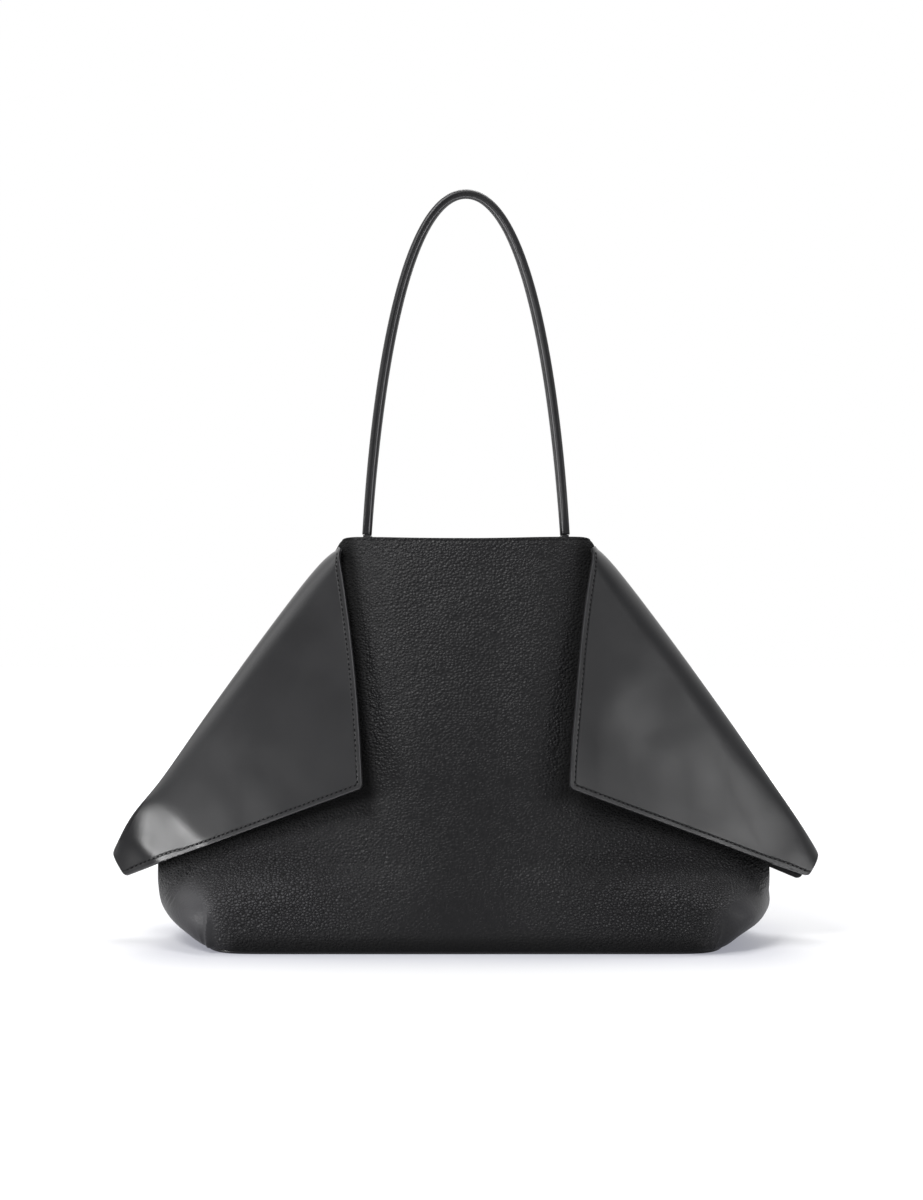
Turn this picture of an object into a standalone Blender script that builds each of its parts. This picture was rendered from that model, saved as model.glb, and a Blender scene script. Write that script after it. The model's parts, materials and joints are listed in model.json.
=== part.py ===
"""Shopper bag: a pebbled leather body, a smooth leather wing folded over each shoulder, two rolled handles.

Metres, +Z up. The front faces -Y, the origin is the centre of the base on the ground.
"""
import math

import bmesh
import bpy
from mathutils import Matrix, Vector

# Clearance between pieces that are sewn or laid against each other
GAP = 0.0003

# Body, measured over the leather
BODY_HEIGHT = 0.324
BASE_LENGTH = 0.432
BASE_DEPTH = 0.140
BELLY_WIDTH = 0.498
BELLY_DEPTH = 0.144
BELLY_HEIGHT = 0.058
SHOULDER_HEIGHT = 0.085
MOUTH_WIDTH = 0.2124
MOUTH_DEPTH = 0.058
MOUTH_DIP = 0.0094
MOUTH_DIP_FADE = 6
MOUTH_DIP_SHARPNESS = 22
PANEL_BULGE = 0.003
SHOULDER_ROUNDING = 0.006
BOXED_CORNER_HEIGHT = 0.070
FLANK_PRESS_HEIGHT = 0.085

# Plan shape of the body, as exponents: a boxed base, flanks pressed in under the wings, an oval mouth
BASE_SQUARENESS = 20.0
UPPER_SQUARENESS = 2.1
BASE_FLANK = 1.0
PRESSED_FLANK = 0.8
MOUTH_FLANK = 0.45

# Layers of the body
PANEL_LEATHER = 0.0018
BASE_LEATHER = 0.0018
BOARD_THICKNESS = 0.0025
LINING_CLOTH = 0.0007
FACING_LEATHER = 0.0011
FACING_HEIGHT = 0.032
LINING_TUCK = 0.004
BASE_INSET = 0.0026

# Handles
HANDLE_THICKNESS = 0.0058
HANDLE_RISE = 0.277
LEG_INSET = 0.0252
LEG_STRAIGHT = 0.320
CROWN_WIDTH = 0.705
LEG_LEAN = 0.057
CORD_THICKNESS = 0.0032
COVER_LEATHER = 0.0010
FLAT_END_THICKNESS = 0.0018
FLAT_END_LENGTH = 0.022
TAB_WIDTH = 0.007
TAB_THICKNESS = 0.0016
TAB_CLEARANCE = 0.0005
TAB_DEPTH = 0.024
TAB_RISE = 0.003
TAB_TAPER = 0.3

# Wings
WING_OVERHANG = 0.0355
WING_LOW_HEIGHT = 0.070
WING_LEATHER = 0.0012
WING_LINING = 0.0010
FOLD_TOP_WIDTH = 0.044
FOLD_TOP_RISE = 0.008
FOLD_LOW_WIDTH = 0.016
FOLD_LOW_RISE = 0.006
FOLD_TOP_SHAPE = 5.0
FOLD_LOW_SHAPE = 3.0
FLAP_CORNER_ALONG = 0.132
FLAP_CORNER_REACH = 0.138
FLAP_TIP_DROP = 0.008
FLAP_TIP_REACH = 0.0136
FLAP_CORNER_RADIUS = 0.004
FLAP_REST_GAP = 0.0018
HINGE_SETBACK = 0.0012

# Magnetic snap
SNAP_DIAMETER = 0.018
SNAP_THICKNESS = 0.0016
SNAP_RIM_DIAMETER = 0.012
SNAP_RIM_HEIGHT = 0.0010
SNAP_BORE_DIAMETER = 0.006
SNAP_STUD_HEIGHT = 0.0022
SNAP_DEPTH = 0.016

# Facets: columns across a panel, rows up it and how they crowd towards the base, steps along half a handle
COLUMNS = 22
MIDDLE_ROWS = 8
ROW_CROWDING = 1.35
ARCH_STEPS = 16
FOLD_COLUMNS = 8
FOLD_ROWS = 6
CORNER_STEPS = 4
SNAP_STEPS = 20
COVER_BEVEL_STEPS = 2
CORE_BEVEL_STEPS = 1
SMOOTH_ANGLE = 35
MERGE_DISTANCE = 0.00001

# Places tried on the body, each way, when a flap is laid against it
PROBES = 50

# Heights that stack up from the ground
PANEL_FOOT = BASE_LEATHER + GAP
BOARD_FOOT = BASE_LEATHER + GAP
BASE_LINING_FOOT = BOARD_FOOT + BOARD_THICKNESS + GAP
LINING_FOOT = BASE_LINING_FOOT + LINING_CLOTH + GAP
FACING_FOOT = BODY_HEIGHT - FACING_HEIGHT
LINING_TOP = FACING_FOOT + LINING_TUCK
SEAM_TOP = BODY_HEIGHT - MOUTH_DIP

# Depths that stack inward from the outer face of the panels
LINING_INSET = PANEL_LEATHER + GAP
TAB_INSET = PANEL_LEATHER + TAB_CLEARANCE
FACING_INSET = TAB_INSET + TAB_THICKNESS + TAB_CLEARANCE
FACING_FACE = FACING_INSET + FACING_LEATHER
WING_STACK = WING_LEATHER + GAP + WING_LINING


def ease(share):
    """Smooth step from 0 to 1."""
    share = min(1.0, max(0.0, share))
    return share * share * (3.0 - 2.0 * share)


def blend(start, end, share):
    return start + (end - start) * share


def soft_min(first, second, softness):
    """The smaller of two lengths, with the corner where they cross rounded off."""
    return -softness * math.log(math.exp(-first / softness) + math.exp(-second / softness))


def half_width(height):
    """Half-width at the side seams: flaring from the base, then running in along the shoulder."""
    climb = min(height / BELLY_HEIGHT, 1.0)
    flare = blend(BASE_LENGTH, BELLY_WIDTH, 1.0 - (1.0 - climb) ** 3) / 2
    run = (height - SHOULDER_HEIGHT) / (SEAM_TOP - SHOULDER_HEIGHT)
    shoulder = blend(BELLY_WIDTH, MOUTH_WIDTH, run) / 2
    return soft_min(flare, shoulder, SHOULDER_ROUNDING)


def half_depth(height):
    """Half-depth at the middle of the panels."""
    if height < BELLY_HEIGHT:
        return blend(BASE_DEPTH, BELLY_DEPTH, height / BELLY_HEIGHT) / 2
    climb = (height - BELLY_HEIGHT) / (BODY_HEIGHT - BELLY_HEIGHT)
    return blend(BELLY_DEPTH, MOUTH_DEPTH, climb) / 2 + PANEL_BULGE * math.sin(math.pi * climb)


def squareness(height):
    return blend(BASE_SQUARENESS, UPPER_SQUARENESS, ease(height / BOXED_CORNER_HEIGHT))


def flank(height):
    """How sharply a panel closes on the side seam: low for a boxed end, high for a pressed flank."""
    if height < FLANK_PRESS_HEIGHT:
        return blend(BASE_FLANK, PRESSED_FLANK, ease(height / FLANK_PRESS_HEIGHT))
    climb = (height - FLANK_PRESS_HEIGHT) / (BODY_HEIGHT - FLANK_PRESS_HEIGHT)
    return blend(PRESSED_FLANK, MOUTH_FLANK, ease(climb))


def seam_dip(height):
    """How far the body dips towards its side seams, most of it near the mouth."""
    return MOUTH_DIP * (height / BODY_HEIGHT) ** MOUTH_DIP_FADE


def skin_point(sideways, height):
    """A point on the front panel's outer face; sideways runs from -1 to 1, seam to seam."""
    dip = seam_dip(height)
    share = abs(sideways)
    x = sideways * half_width(height - dip)
    y = -half_depth(height) * max(0.0, 1.0 - share ** squareness(height)) ** flank(height)
    return Vector((x, y, height - dip * share ** MOUTH_DIP_SHARPNESS))


def skin_normal(sideways, height):
    """Outward normal of the front panel, by small steps."""
    step = 0.001
    right = skin_point(sideways + step, height) - skin_point(sideways - step, height)
    up = skin_point(sideways, height + step) - skin_point(sideways, height - step)
    return right.cross(up).normalized()


def sideways_at(x, height):
    return x / half_width(height - seam_dip(height))


def body_rows():
    """Heights of the facet rows, shared by every layer so that the layers nest."""
    rows = [PANEL_FOOT, LINING_FOOT]
    for index in range(1, MIDDLE_ROWS + 1):
        share = (index / (MIDDLE_ROWS + 1)) ** ROW_CROWDING
        rows.append(blend(LINING_FOOT, FACING_FOOT, share))
    return rows + [FACING_FOOT, LINING_TOP, BODY_HEIGHT]


def material(name, color, roughness, metallic=0.0):
    made = bpy.data.materials.new(name)
    made.use_nodes = True
    shader = made.node_tree.nodes["Principled BSDF"]
    shader.inputs["Base Color"].default_value = (*color, 1.0)
    shader.inputs["Roughness"].default_value = roughness
    shader.inputs["Metallic"].default_value = metallic
    return made


def add_object(name, data, collection, finish):
    made = bpy.data.objects.new(name, data)
    made.data.materials.append(finish)
    collection.objects.link(made)
    return made


def evaluated_mesh(source):
    """The mesh of an object with its modifiers or curve bevel applied, welded; the object is removed."""
    bpy.context.view_layer.update()
    depsgraph = bpy.context.evaluated_depsgraph_get()
    mesh = bpy.data.meshes.new_from_object(source.evaluated_get(depsgraph))
    bm = bmesh.new()
    bm.from_mesh(mesh)
    bmesh.ops.remove_doubles(bm, verts=bm.verts, dist=MERGE_DISTANCE)
    bmesh.ops.recalc_face_normals(bm, faces=bm.faces)
    bm.to_mesh(mesh)
    bm.free()
    bpy.data.objects.remove(source)
    return mesh


def shade(made):
    made.data.shade_smooth()
    made.data.set_sharp_from_angle(angle=math.radians(SMOOTH_ANGLE))
    return made


def sheet_mesh(columns, rows, place):
    """A grid primitive whose points are moved to place(sideways, row share), both from 0 to 1."""
    mesh = bpy.data.meshes.new("sheet")
    bm = bmesh.new()
    bmesh.ops.create_grid(bm, x_segments=columns, y_segments=rows, size=1.0)
    for vert in bm.verts:
        vert.co = place((vert.co.x + 1) / 2, (vert.co.y + 1) / 2)
    bm.normal_update()
    bm.to_mesh(mesh)
    bm.free()
    return mesh


def walled(mesh, inset, thickness, collection, finish):
    """Turns an open sheet into a wall that starts inset behind the sheet, on its inner side."""
    bm = bmesh.new()
    bm.from_mesh(mesh)
    bm.normal_update()
    shifts = [vert.normal * inset for vert in bm.verts]
    for vert, shift in zip(bm.verts, shifts):
        vert.co -= shift
    bm.to_mesh(mesh)
    bm.free()
    sheet = add_object("wall", mesh, collection, finish)
    wall = sheet.modifiers.new("thickness", "SOLIDIFY")
    wall.thickness = thickness
    wall.offset = -1.0
    return evaluated_mesh(sheet)


def body_layer(name, first, last, inset, thickness, face, collection, finish):
    """One half of a layer of the body between two facet rows; face is -1 for the front, 1 for the back."""
    rows = body_rows()[first:last + 1]

    def place(sideways, climb):
        height = rows[round(climb * (len(rows) - 1))]
        return skin_point(math.sin(math.pi * (sideways - 0.5)), height)

    mesh = walled(sheet_mesh(COLUMNS, len(rows) - 1, place), inset, thickness, collection, finish)
    bm = bmesh.new()
    bm.from_mesh(mesh)
    bmesh.ops.bisect_plane(bm, geom=bm.verts[:] + bm.edges[:] + bm.faces[:], dist=0.000001,
                           plane_co=(0, -GAP / 2, 0), plane_no=(0, 1, 0), clear_outer=True)
    bmesh.ops.holes_fill(bm, edges=[edge for edge in bm.edges if edge.is_boundary])
    bmesh.ops.triangulate(bm, faces=[item for item in bm.faces if len(item.verts) > 4])
    if face > 0:
        bmesh.ops.transform(bm, matrix=Matrix.Scale(-1, 4, (0, 1, 0)), verts=bm.verts)
    bmesh.ops.recalc_face_normals(bm, faces=bm.faces)
    bm.to_mesh(mesh)
    bm.free()
    return shade(add_object(name, mesh, collection, finish))


def plate_mesh(outline, low, high):
    """A flat outline in XY as a solid between two levels."""
    curve = bpy.data.curves.new("outline", "CURVE")
    curve.dimensions = "2D"
    curve.fill_mode = "BOTH"
    curve.extrude = (high - low) / 2
    spline = curve.splines.new("POLY")
    spline.points.add(len(outline) - 1)
    for point, (x, y) in zip(spline.points, outline):
        point.co = (x, y, 0, 1)
    spline.use_cyclic_u = True
    holder = bpy.data.objects.new("outline", curve)
    bpy.context.scene.collection.objects.link(holder)
    mesh = evaluated_mesh(holder)
    mesh.transform(Matrix.Translation((0, 0, (low + high) / 2)))
    return mesh


def base_outline(inset):
    """The boxed outline of the base, drawn in by inset all round."""
    front = []
    for index in range(COLUMNS + 1):
        sideways = math.sin(math.pi * (index / COLUMNS - 0.5))
        point = skin_point(sideways, 0.0)
        front.append((point.x * (1 - inset / half_width(0.0)), point.y * (1 - inset / half_depth(0.0))))
    back = [(-x, -y) for x, y in front[1:-1]]
    return front + back


def make_base(collection, finishes):
    layers = [
        ("base_panel", 0.0, BASE_LEATHER, 0.0, "pebbled_leather"),
        ("base_board", BOARD_FOOT, BOARD_THICKNESS, BASE_INSET, "board"),
        ("base_lining", BASE_LINING_FOOT, LINING_CLOTH, BASE_INSET, "lining"),
    ]
    for name, foot, thickness, inset, finish in layers:
        mesh = plate_mesh(base_outline(inset), foot, foot + thickness)
        add_object(name, mesh, collection, finishes[finish])


def make_walls(collection, finishes):
    """Panels, linings and mouth facings, front and back."""
    rows = body_rows()
    top = len(rows) - 1
    facing_row = rows.index(FACING_FOOT)
    lining_row = rows.index(LINING_TOP)
    for word, face in (("front", -1), ("back", 1)):
        body_layer(word + "_panel", 0, top, 0.0, PANEL_LEATHER, face, collection, finishes["pebbled_leather"])
        body_layer(word + "_lining", 1, lining_row, LINING_INSET, LINING_CLOTH, face, collection,
                   finishes["lining"])
        body_layer(word + "_facing", facing_row, top, FACING_INSET, FACING_LEATHER, face, collection,
                   finishes["smooth_leather"])


def leg_x():
    return MOUTH_WIDTH / 2 - LEG_INSET


def tab_center(height):
    """Middle of a handle tab's thickness, on the right-hand leg of the front handle."""
    sideways = sideways_at(leg_x(), height)
    normal = skin_normal(sideways, height)
    return skin_point(sideways, height) - normal * (TAB_INSET + TAB_THICKNESS / 2)


def hinge_point():
    """The front handle's hinge axis crosses this point of its right-hand leg."""
    top = tab_center(BODY_HEIGHT + TAB_RISE)
    return Vector((leg_x(), top.y, top.z + GAP + FLAT_END_THICKNESS / 2))


def make_tabs(collection, finish):
    """Flat strap ends between panel and facing, standing a little above the mouth."""
    low = BODY_HEIGHT - TAB_DEPTH
    high = BODY_HEIGHT + TAB_RISE

    def place(sideways, climb):
        height = blend(low, high, climb)
        return skin_point(sideways_at(leg_x() + (sideways - 0.5) * TAB_WIDTH, height), height)

    for word, face in (("front", -1), ("back", 1)):
        for hand, side in (("left", -1), ("right", 1)):
            mesh = walled(sheet_mesh(2, 3, place), TAB_INSET, TAB_THICKNESS, collection, finish)
            for vert in mesh.vertices:
                if vert.co.z > BODY_HEIGHT:
                    middle = tab_center(high).y
                    vert.co.y = blend(middle, vert.co.y, TAB_TAPER)
            mesh.transform(Matrix.Diagonal((side, -face, 1, 1)))
            if side * face > 0:
                mesh.flip_normals()
            shade(add_object(f"{word}_{hand}_handle_tab", mesh, collection, finish))


def arch_path(start_height, steps):
    """Points of the handle arch in its own XZ plane, from start_height on one leg to it on the other."""
    spread = leg_x()
    knots = [(spread, 0.0), (spread * (1 - LEG_LEAN), LEG_STRAIGHT * HANDLE_RISE),
             (spread * CROWN_WIDTH, HANDLE_RISE), (0.0, HANDLE_RISE)]
    half = []
    for index in range(steps + 1):
        t = index / steps
        weights = ((1 - t) ** 3, 3 * (1 - t) ** 2 * t, 3 * (1 - t) * t * t, t ** 3)
        x = sum(weight * knot[0] for weight, knot in zip(weights, knots))
        z = sum(weight * knot[1] for weight, knot in zip(weights, knots))
        if z >= start_height:
            half.append(Vector((x, 0, z)))
    return half + [Vector((-point.x, 0, point.z)) for point in reversed(half[:-1])]


def tube_mesh(points, radius, bevel_resolution):
    """A filled tube along the points."""
    curve = bpy.data.curves.new("tube", "CURVE")
    curve.dimensions = "3D"
    curve.bevel_depth = radius
    curve.bevel_resolution = bevel_resolution
    curve.use_fill_caps = True
    spline = curve.splines.new("POLY")
    spline.points.add(len(points) - 1)
    for point, place in zip(spline.points, points):
        point.co = (*place, 1)
    holder = bpy.data.objects.new("tube", curve)
    bpy.context.scene.collection.objects.link(holder)
    return evaluated_mesh(holder)


def flatten_ends(mesh):
    """Presses the tube's two ends flat and rounds them about the hinge axis."""
    flat = FLAT_END_THICKNESS / HANDLE_THICKNESS
    rounding = FLAT_END_THICKNESS / 2
    for vert in mesh.vertices:
        height = vert.co.z
        if height < 0:
            squeeze = flat * math.sqrt(max(0.1, 1 - (height / rounding) ** 2))
        else:
            squeeze = blend(flat, 1.0, ease(height / FLAT_END_LENGTH))
        vert.co.y *= squeeze


def make_handle(word, face, collection, finishes):
    """A rolled handle: leather wrapped round a cord, leaning in until it rests on its twin."""
    hinge = hinge_point()
    apex_gap = (HANDLE_THICKNESS + GAP) / 2
    lean = math.asin((-hinge.y - apex_gap) / HANDLE_RISE)
    turn = Matrix.Translation((0, -face * hinge.y, hinge.z)) @ Matrix.Rotation(face * lean, 4, "X")

    rounding = FLAT_END_THICKNESS / 2
    arch = arch_path(0.0, ARCH_STEPS)
    below = [Vector((leg_x(), 0, -rounding * share)) for share in (1.0, 0.6)]
    points = below + arch + [Vector((-point.x, 0, point.z)) for point in reversed(below)]
    outer = tube_mesh(points, HANDLE_THICKNESS / 2, COVER_BEVEL_STEPS)
    flatten_ends(outer)
    through = [points[0] + Vector((0, 0, -rounding))] + points + [points[-1] + Vector((0, 0, -rounding))]
    bore = tube_mesh(through, HANDLE_THICKNESS / 2 - COVER_LEATHER, CORE_BEVEL_STEPS)
    flatten_ends(bore)

    cutter = add_object(word + "_handle_bore", bore, bpy.data.collections["cutters"], finishes["board"])
    cutter.hide_render = True
    cutter.display_type = "WIRE"
    cover = add_object(word + "_handle", outer, collection, finishes["smooth_leather"])
    cut = cover.modifiers.new("bore", "BOOLEAN")
    cut.object = cutter
    cut.solver = "EXACT"

    cord = tube_mesh(arch_path(FLAT_END_LENGTH, ARCH_STEPS), CORD_THICKNESS / 2, CORE_BEVEL_STEPS)
    core = add_object(word + "_handle_cord", cord, collection, finishes["cord"])
    for piece in (cover, core, cutter):
        piece.matrix_world = turn
        shade(piece)


def fold_ends(side):
    """Top and low ends of the wing's fold ridge on one side, and the direction out of the bag."""
    seam = Vector((side * MOUTH_WIDTH / 2, 0, SEAM_TOP))
    low = Vector((side * (BELLY_WIDTH / 2 + WING_OVERHANG), 0, WING_LOW_HEIGHT))
    down = (low - seam).normalized()
    outward = Vector((-down.z * side, 0, down.x * side))
    return seam + outward * (WING_STACK + GAP), low, outward


def hinge_line(side, face):
    """Top and low ends of the line on which a flap turns."""
    top, low, outward = fold_ends(side)
    across = Vector((0, face, 0))
    return (top - outward * FOLD_TOP_RISE + across * FOLD_TOP_WIDTH / 2,
            low - outward * FOLD_LOW_RISE + across * FOLD_LOW_WIDTH / 2)


def flap_outline(length, setback):
    """Outline of a flap in its own plane: along the hinge, and away from it."""
    tip = Vector((length + FLAP_TIP_DROP, FLAP_TIP_REACH))
    corner = Vector((FLAP_CORNER_ALONG, FLAP_CORNER_REACH))
    slope = corner.x / corner.y
    points = [(setback * slope, setback)]
    before = (Vector((0, 0)) - corner).normalized()
    after = (tip - corner).normalized()
    opening = math.acos(before.dot(after))
    reach = FLAP_CORNER_RADIUS / math.tan(opening / 2)
    middle = corner + (before + after).normalized() * FLAP_CORNER_RADIUS / math.sin(opening / 2)
    first = (corner + before * reach) - middle
    for index in range(CORNER_STEPS + 1):
        angle = -(math.pi - opening) * index / CORNER_STEPS
        turned = Matrix.Rotation(angle, 2) @ first
        points.append(tuple(middle + turned))
    points.append(tuple(tip))
    points.append((length + FLAP_TIP_DROP * setback / FLAP_TIP_REACH, setback))
    return points


def flap_reach(along, length):
    """How far a flap reaches from its hinge, at a place along it."""
    if along < FLAP_CORNER_ALONG:
        return FLAP_CORNER_REACH * along / FLAP_CORNER_ALONG
    share = (along - FLAP_CORNER_ALONG) / (length + FLAP_TIP_DROP - FLAP_CORNER_ALONG)
    return blend(FLAP_CORNER_REACH, FLAP_TIP_REACH, share)


def flap_frame(side, face):
    """Axes of a flap that lies against the body: along its hinge, away from it, and the hinge length.

    The front right flap is swung out from hanging straight down until it clears every probed place on the
    body, and the other three are its mirror images.
    """
    top, low = hinge_line(1, -1)
    length = (low - top).length
    along = (low - top) / length
    down = Vector((0, 0, -1))
    hanging = (down - along * down.dot(along)).normalized()
    forward = hanging.cross(along)
    widest = 0.0
    for row in range(PROBES):
        height = blend(PANEL_FOOT, BODY_HEIGHT, row / (PROBES - 1))
        for column in range(PROBES):
            sideways = math.sin(math.pi / 2 * column / (PROBES - 1))
            offset = skin_point(sideways, height) - top
            place = offset.dot(along)
            reach = math.hypot(offset.dot(hanging), offset.dot(forward))
            if 0 < place < length and WING_STACK * 2 < reach < flap_reach(place, length):
                clear = math.asin((WING_STACK + FLAP_REST_GAP) / reach)
                widest = max(widest, math.atan2(offset.dot(forward), offset.dot(hanging)) + clear)
    away = hanging * math.cos(widest) + forward * math.sin(widest)
    mirrored = Vector((side, -face, 1))
    return along * mirrored, away * mirrored, length


def make_wing(hand, side, collection, finishes):
    """A wing: a fixed fold along the shoulder and a flap on either side of it, in leather and lining."""
    top, low, outward = fold_ends(side)

    def place(sideways, climb):
        middle = blend(low, top, climb)
        width = blend(FOLD_LOW_WIDTH, FOLD_TOP_WIDTH, climb) - GAP
        rise = blend(FOLD_LOW_RISE, FOLD_TOP_RISE, climb) - GAP
        shape = blend(FOLD_LOW_SHAPE, FOLD_TOP_SHAPE, climb)
        swing = math.sin(math.pi * (sideways - 0.5))
        return middle + Vector((0, side * swing * width / 2, 0)) - outward * rise * abs(swing) ** shape

    layers = [("", 0.0, WING_LEATHER, "smooth_leather"),
              ("_lining", WING_LEATHER + GAP, WING_LINING, "wing_lining")]
    for suffix, inset, thickness, finish in layers:
        sheet = sheet_mesh(FOLD_COLUMNS, FOLD_ROWS, place)
        mesh = walled(sheet, inset, thickness, collection, finishes[finish])
        shade(add_object(f"{hand}_wing_fold{suffix}", mesh, collection, finishes[finish]))

    for word, face in (("front", -1), ("back", 1)):
        along, away, length = flap_frame(side, face)
        inward = -side * face
        across = along.cross(away)
        hinge_top = hinge_line(side, face)[0]
        pose = Matrix((along, away, across)).transposed().to_4x4()
        pose.translation = hinge_top
        for suffix, inset, thickness, finish in layers:
            setback = GAP if inset == 0.0 else HINGE_SETBACK
            levels = sorted((inward * inset, inward * (inset + thickness)))
            mesh = plate_mesh(flap_outline(length, setback), *levels)
            flap = add_object(f"{hand}_{word}_flap{suffix}", mesh, collection, finishes[finish])
            flap.matrix_world = pose


def turned_mesh(profile, collection, finish):
    """A closed profile of (radius, height) points, top to bottom on its outer side, turned about Z."""
    mesh = bpy.data.meshes.new("profile")
    bm = bmesh.new()
    ring = [bm.verts.new((radius, 0, height)) for radius, height in profile]
    for index in range(len(ring) - 1):
        bm.edges.new((ring[index], ring[index + 1]))
    if profile[0][0] > 0:
        bm.edges.new((ring[-1], ring[0]))
    bm.to_mesh(mesh)
    bm.free()
    turned = add_object("turned", mesh, collection, finish)
    screw = turned.modifiers.new("turn", "SCREW")
    screw.steps = SNAP_STEPS
    screw.render_steps = SNAP_STEPS
    screw.use_merge_vertices = True
    screw.merge_threshold = MERGE_DISTANCE
    return evaluated_mesh(turned)


def make_snaps(collection, finish):
    """The two halves of a magnetic snap, on the inner faces of the mouth facings."""
    height = BODY_HEIGHT - SNAP_DEPTH
    normal = skin_normal(0.0, height)
    seat = skin_point(0.0, height) - normal * (FACING_FACE + GAP)
    base = SNAP_DIAMETER / 2
    rim = SNAP_RIM_DIAMETER / 2
    bore = SNAP_BORE_DIAMETER / 2
    crown = SNAP_THICKNESS + SNAP_RIM_HEIGHT
    plate = [(base, SNAP_THICKNESS), (base, 0)]
    socket = [(bore, crown), (rim, crown), (rim, SNAP_THICKNESS), *plate, (bore, 0)]
    stud = bore - GAP
    tip = SNAP_THICKNESS + SNAP_STUD_HEIGHT
    post = [(0, tip), (stud, tip), (stud, SNAP_THICKNESS), *plate, (0, 0)]
    for name, profile, face in (("snap_socket", socket, -1), ("snap_stud", post, 1)):
        made = add_object(name, turned_mesh(profile, collection, finish), collection, finish)
        inward = Vector((0, face * normal.y, -normal.z))
        place = Vector((0, -face * seat.y, seat.z))
        made.matrix_world = Matrix.Translation(place) @ inward.to_track_quat("Z", "X").to_matrix().to_4x4()
        shade(made)


def clear_scene():
    for item in list(bpy.data.objects):
        bpy.data.objects.remove(item)


def make_collection(name):
    made = bpy.data.collections.new(name)
    bpy.context.scene.collection.children.link(made)
    return made


def make_finishes():
    return {
        "pebbled_leather": material("pebbled_leather", (0.022, 0.021, 0.023), 0.55),
        "smooth_leather": material("smooth_leather", (0.035, 0.034, 0.036), 0.38),
        "wing_lining": material("wing_lining", (0.028, 0.027, 0.028), 0.60),
        "lining": material("lining", (0.030, 0.029, 0.031), 0.85),
        "board": material("board", (0.15, 0.13, 0.11), 0.80),
        "cord": material("cord", (0.55, 0.52, 0.46), 0.90),
        "snap_metal": material("snap_metal", (0.30, 0.29, 0.28), 0.30, 1.0),
    }


def make_bag():
    clear_scene()
    bag = make_collection("shopper_bag")
    make_collection("cutters")
    finishes = make_finishes()
    make_base(bag, finishes)
    make_walls(bag, finishes)
    make_tabs(bag, finishes["smooth_leather"])
    make_snaps(bag, finishes["snap_metal"])
    make_handle("front", -1, bag, finishes)
    make_handle("back", 1, bag, finishes)
    make_wing("left", -1, bag, finishes)
    make_wing("right", 1, bag, finishes)


make_bag()
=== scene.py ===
# %% [markdown]
# # A leather shopper bag with folded wings
#
# This lesson dresses the working model of a shopper bag: a soft pebbled body with a boxed base, a smooth
# leather wing folded over each shoulder, and two thin rolled handles. The working model is the frame. It says
# where every piece is and what moves, and nothing here changes that. Each cell below makes one piece or one
# finish, and prints what it made.

import json
import math

import bpy
import numpy as np
from mathutils import Matrix, Vector, noise

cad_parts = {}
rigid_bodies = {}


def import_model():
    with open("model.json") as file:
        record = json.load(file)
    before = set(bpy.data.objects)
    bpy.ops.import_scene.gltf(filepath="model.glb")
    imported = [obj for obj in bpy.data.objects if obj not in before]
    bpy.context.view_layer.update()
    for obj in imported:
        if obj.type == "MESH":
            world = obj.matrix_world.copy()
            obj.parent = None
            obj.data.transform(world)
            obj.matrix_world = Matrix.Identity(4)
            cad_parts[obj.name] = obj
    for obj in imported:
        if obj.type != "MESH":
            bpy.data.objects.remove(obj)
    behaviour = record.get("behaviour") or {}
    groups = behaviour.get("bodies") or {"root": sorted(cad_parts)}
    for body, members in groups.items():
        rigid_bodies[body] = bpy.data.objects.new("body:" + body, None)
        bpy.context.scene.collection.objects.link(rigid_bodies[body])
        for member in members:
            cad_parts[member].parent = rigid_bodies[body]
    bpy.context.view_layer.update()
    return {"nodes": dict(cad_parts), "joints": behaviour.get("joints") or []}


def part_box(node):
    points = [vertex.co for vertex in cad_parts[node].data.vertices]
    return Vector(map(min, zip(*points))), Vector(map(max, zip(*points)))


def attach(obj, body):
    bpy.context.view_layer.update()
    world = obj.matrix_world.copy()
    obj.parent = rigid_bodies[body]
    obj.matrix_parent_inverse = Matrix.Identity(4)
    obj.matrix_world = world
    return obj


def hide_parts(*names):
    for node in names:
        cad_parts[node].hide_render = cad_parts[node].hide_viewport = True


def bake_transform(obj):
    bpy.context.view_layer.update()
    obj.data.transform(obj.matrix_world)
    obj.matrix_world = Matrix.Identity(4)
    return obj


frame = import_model()
joints = {joint["name"]: joint for joint in frame["joints"]}

# %% [markdown]
# ## The camera
#
# The bag was photographed from straight in front with a long lens, a little below the mouth. The lens follows
# from the width of the picture at the bag's middle and the distance, on a portrait frame of 923 by 1200.

# %% Camera
CAMERA_PLACE = (-0.0036, -1.5, 0.2741)
FRAME_HEIGHT = 0.972
SENSOR = 36.0

camera = bpy.data.objects.new("camera", bpy.data.cameras.new("camera"))
bpy.context.scene.collection.objects.link(camera)
camera.location = CAMERA_PLACE
camera.rotation_euler = (math.pi / 2, 0, 0)
camera.data.sensor_width = SENSOR
camera.data.lens = SENSOR * -CAMERA_PLACE[1] / FRAME_HEIGHT
bpy.context.scene.camera = camera
bpy.context.scene.view_settings.view_transform = "Standard"
print("lens:", round(camera.data.lens, 1), "mm")

# %% [markdown]
# ## Small tools
#
# Operators act on whatever is selected, so each step first picks its own piece. Points are read and written
# as whole arrays, because a fine leather surface has tens of thousands of them.

# %% Picking, shaping and applying
def pick(*pieces):
    """Selects the given pieces and nothing else; the first becomes the active one."""
    bpy.ops.object.select_all(action="DESELECT")
    for piece in pieces:
        piece.select_set(True)
    bpy.context.view_layer.objects.active = pieces[0]


def named(name):
    """Names the object that an operator has just added, and its mesh."""
    made = bpy.context.object
    made.name = name
    made.data.name = name
    return made


def points_of(piece):
    places = np.empty(len(piece.data.vertices) * 3)
    piece.data.vertices.foreach_get("co", places)
    return places.reshape(-1, 3)


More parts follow.
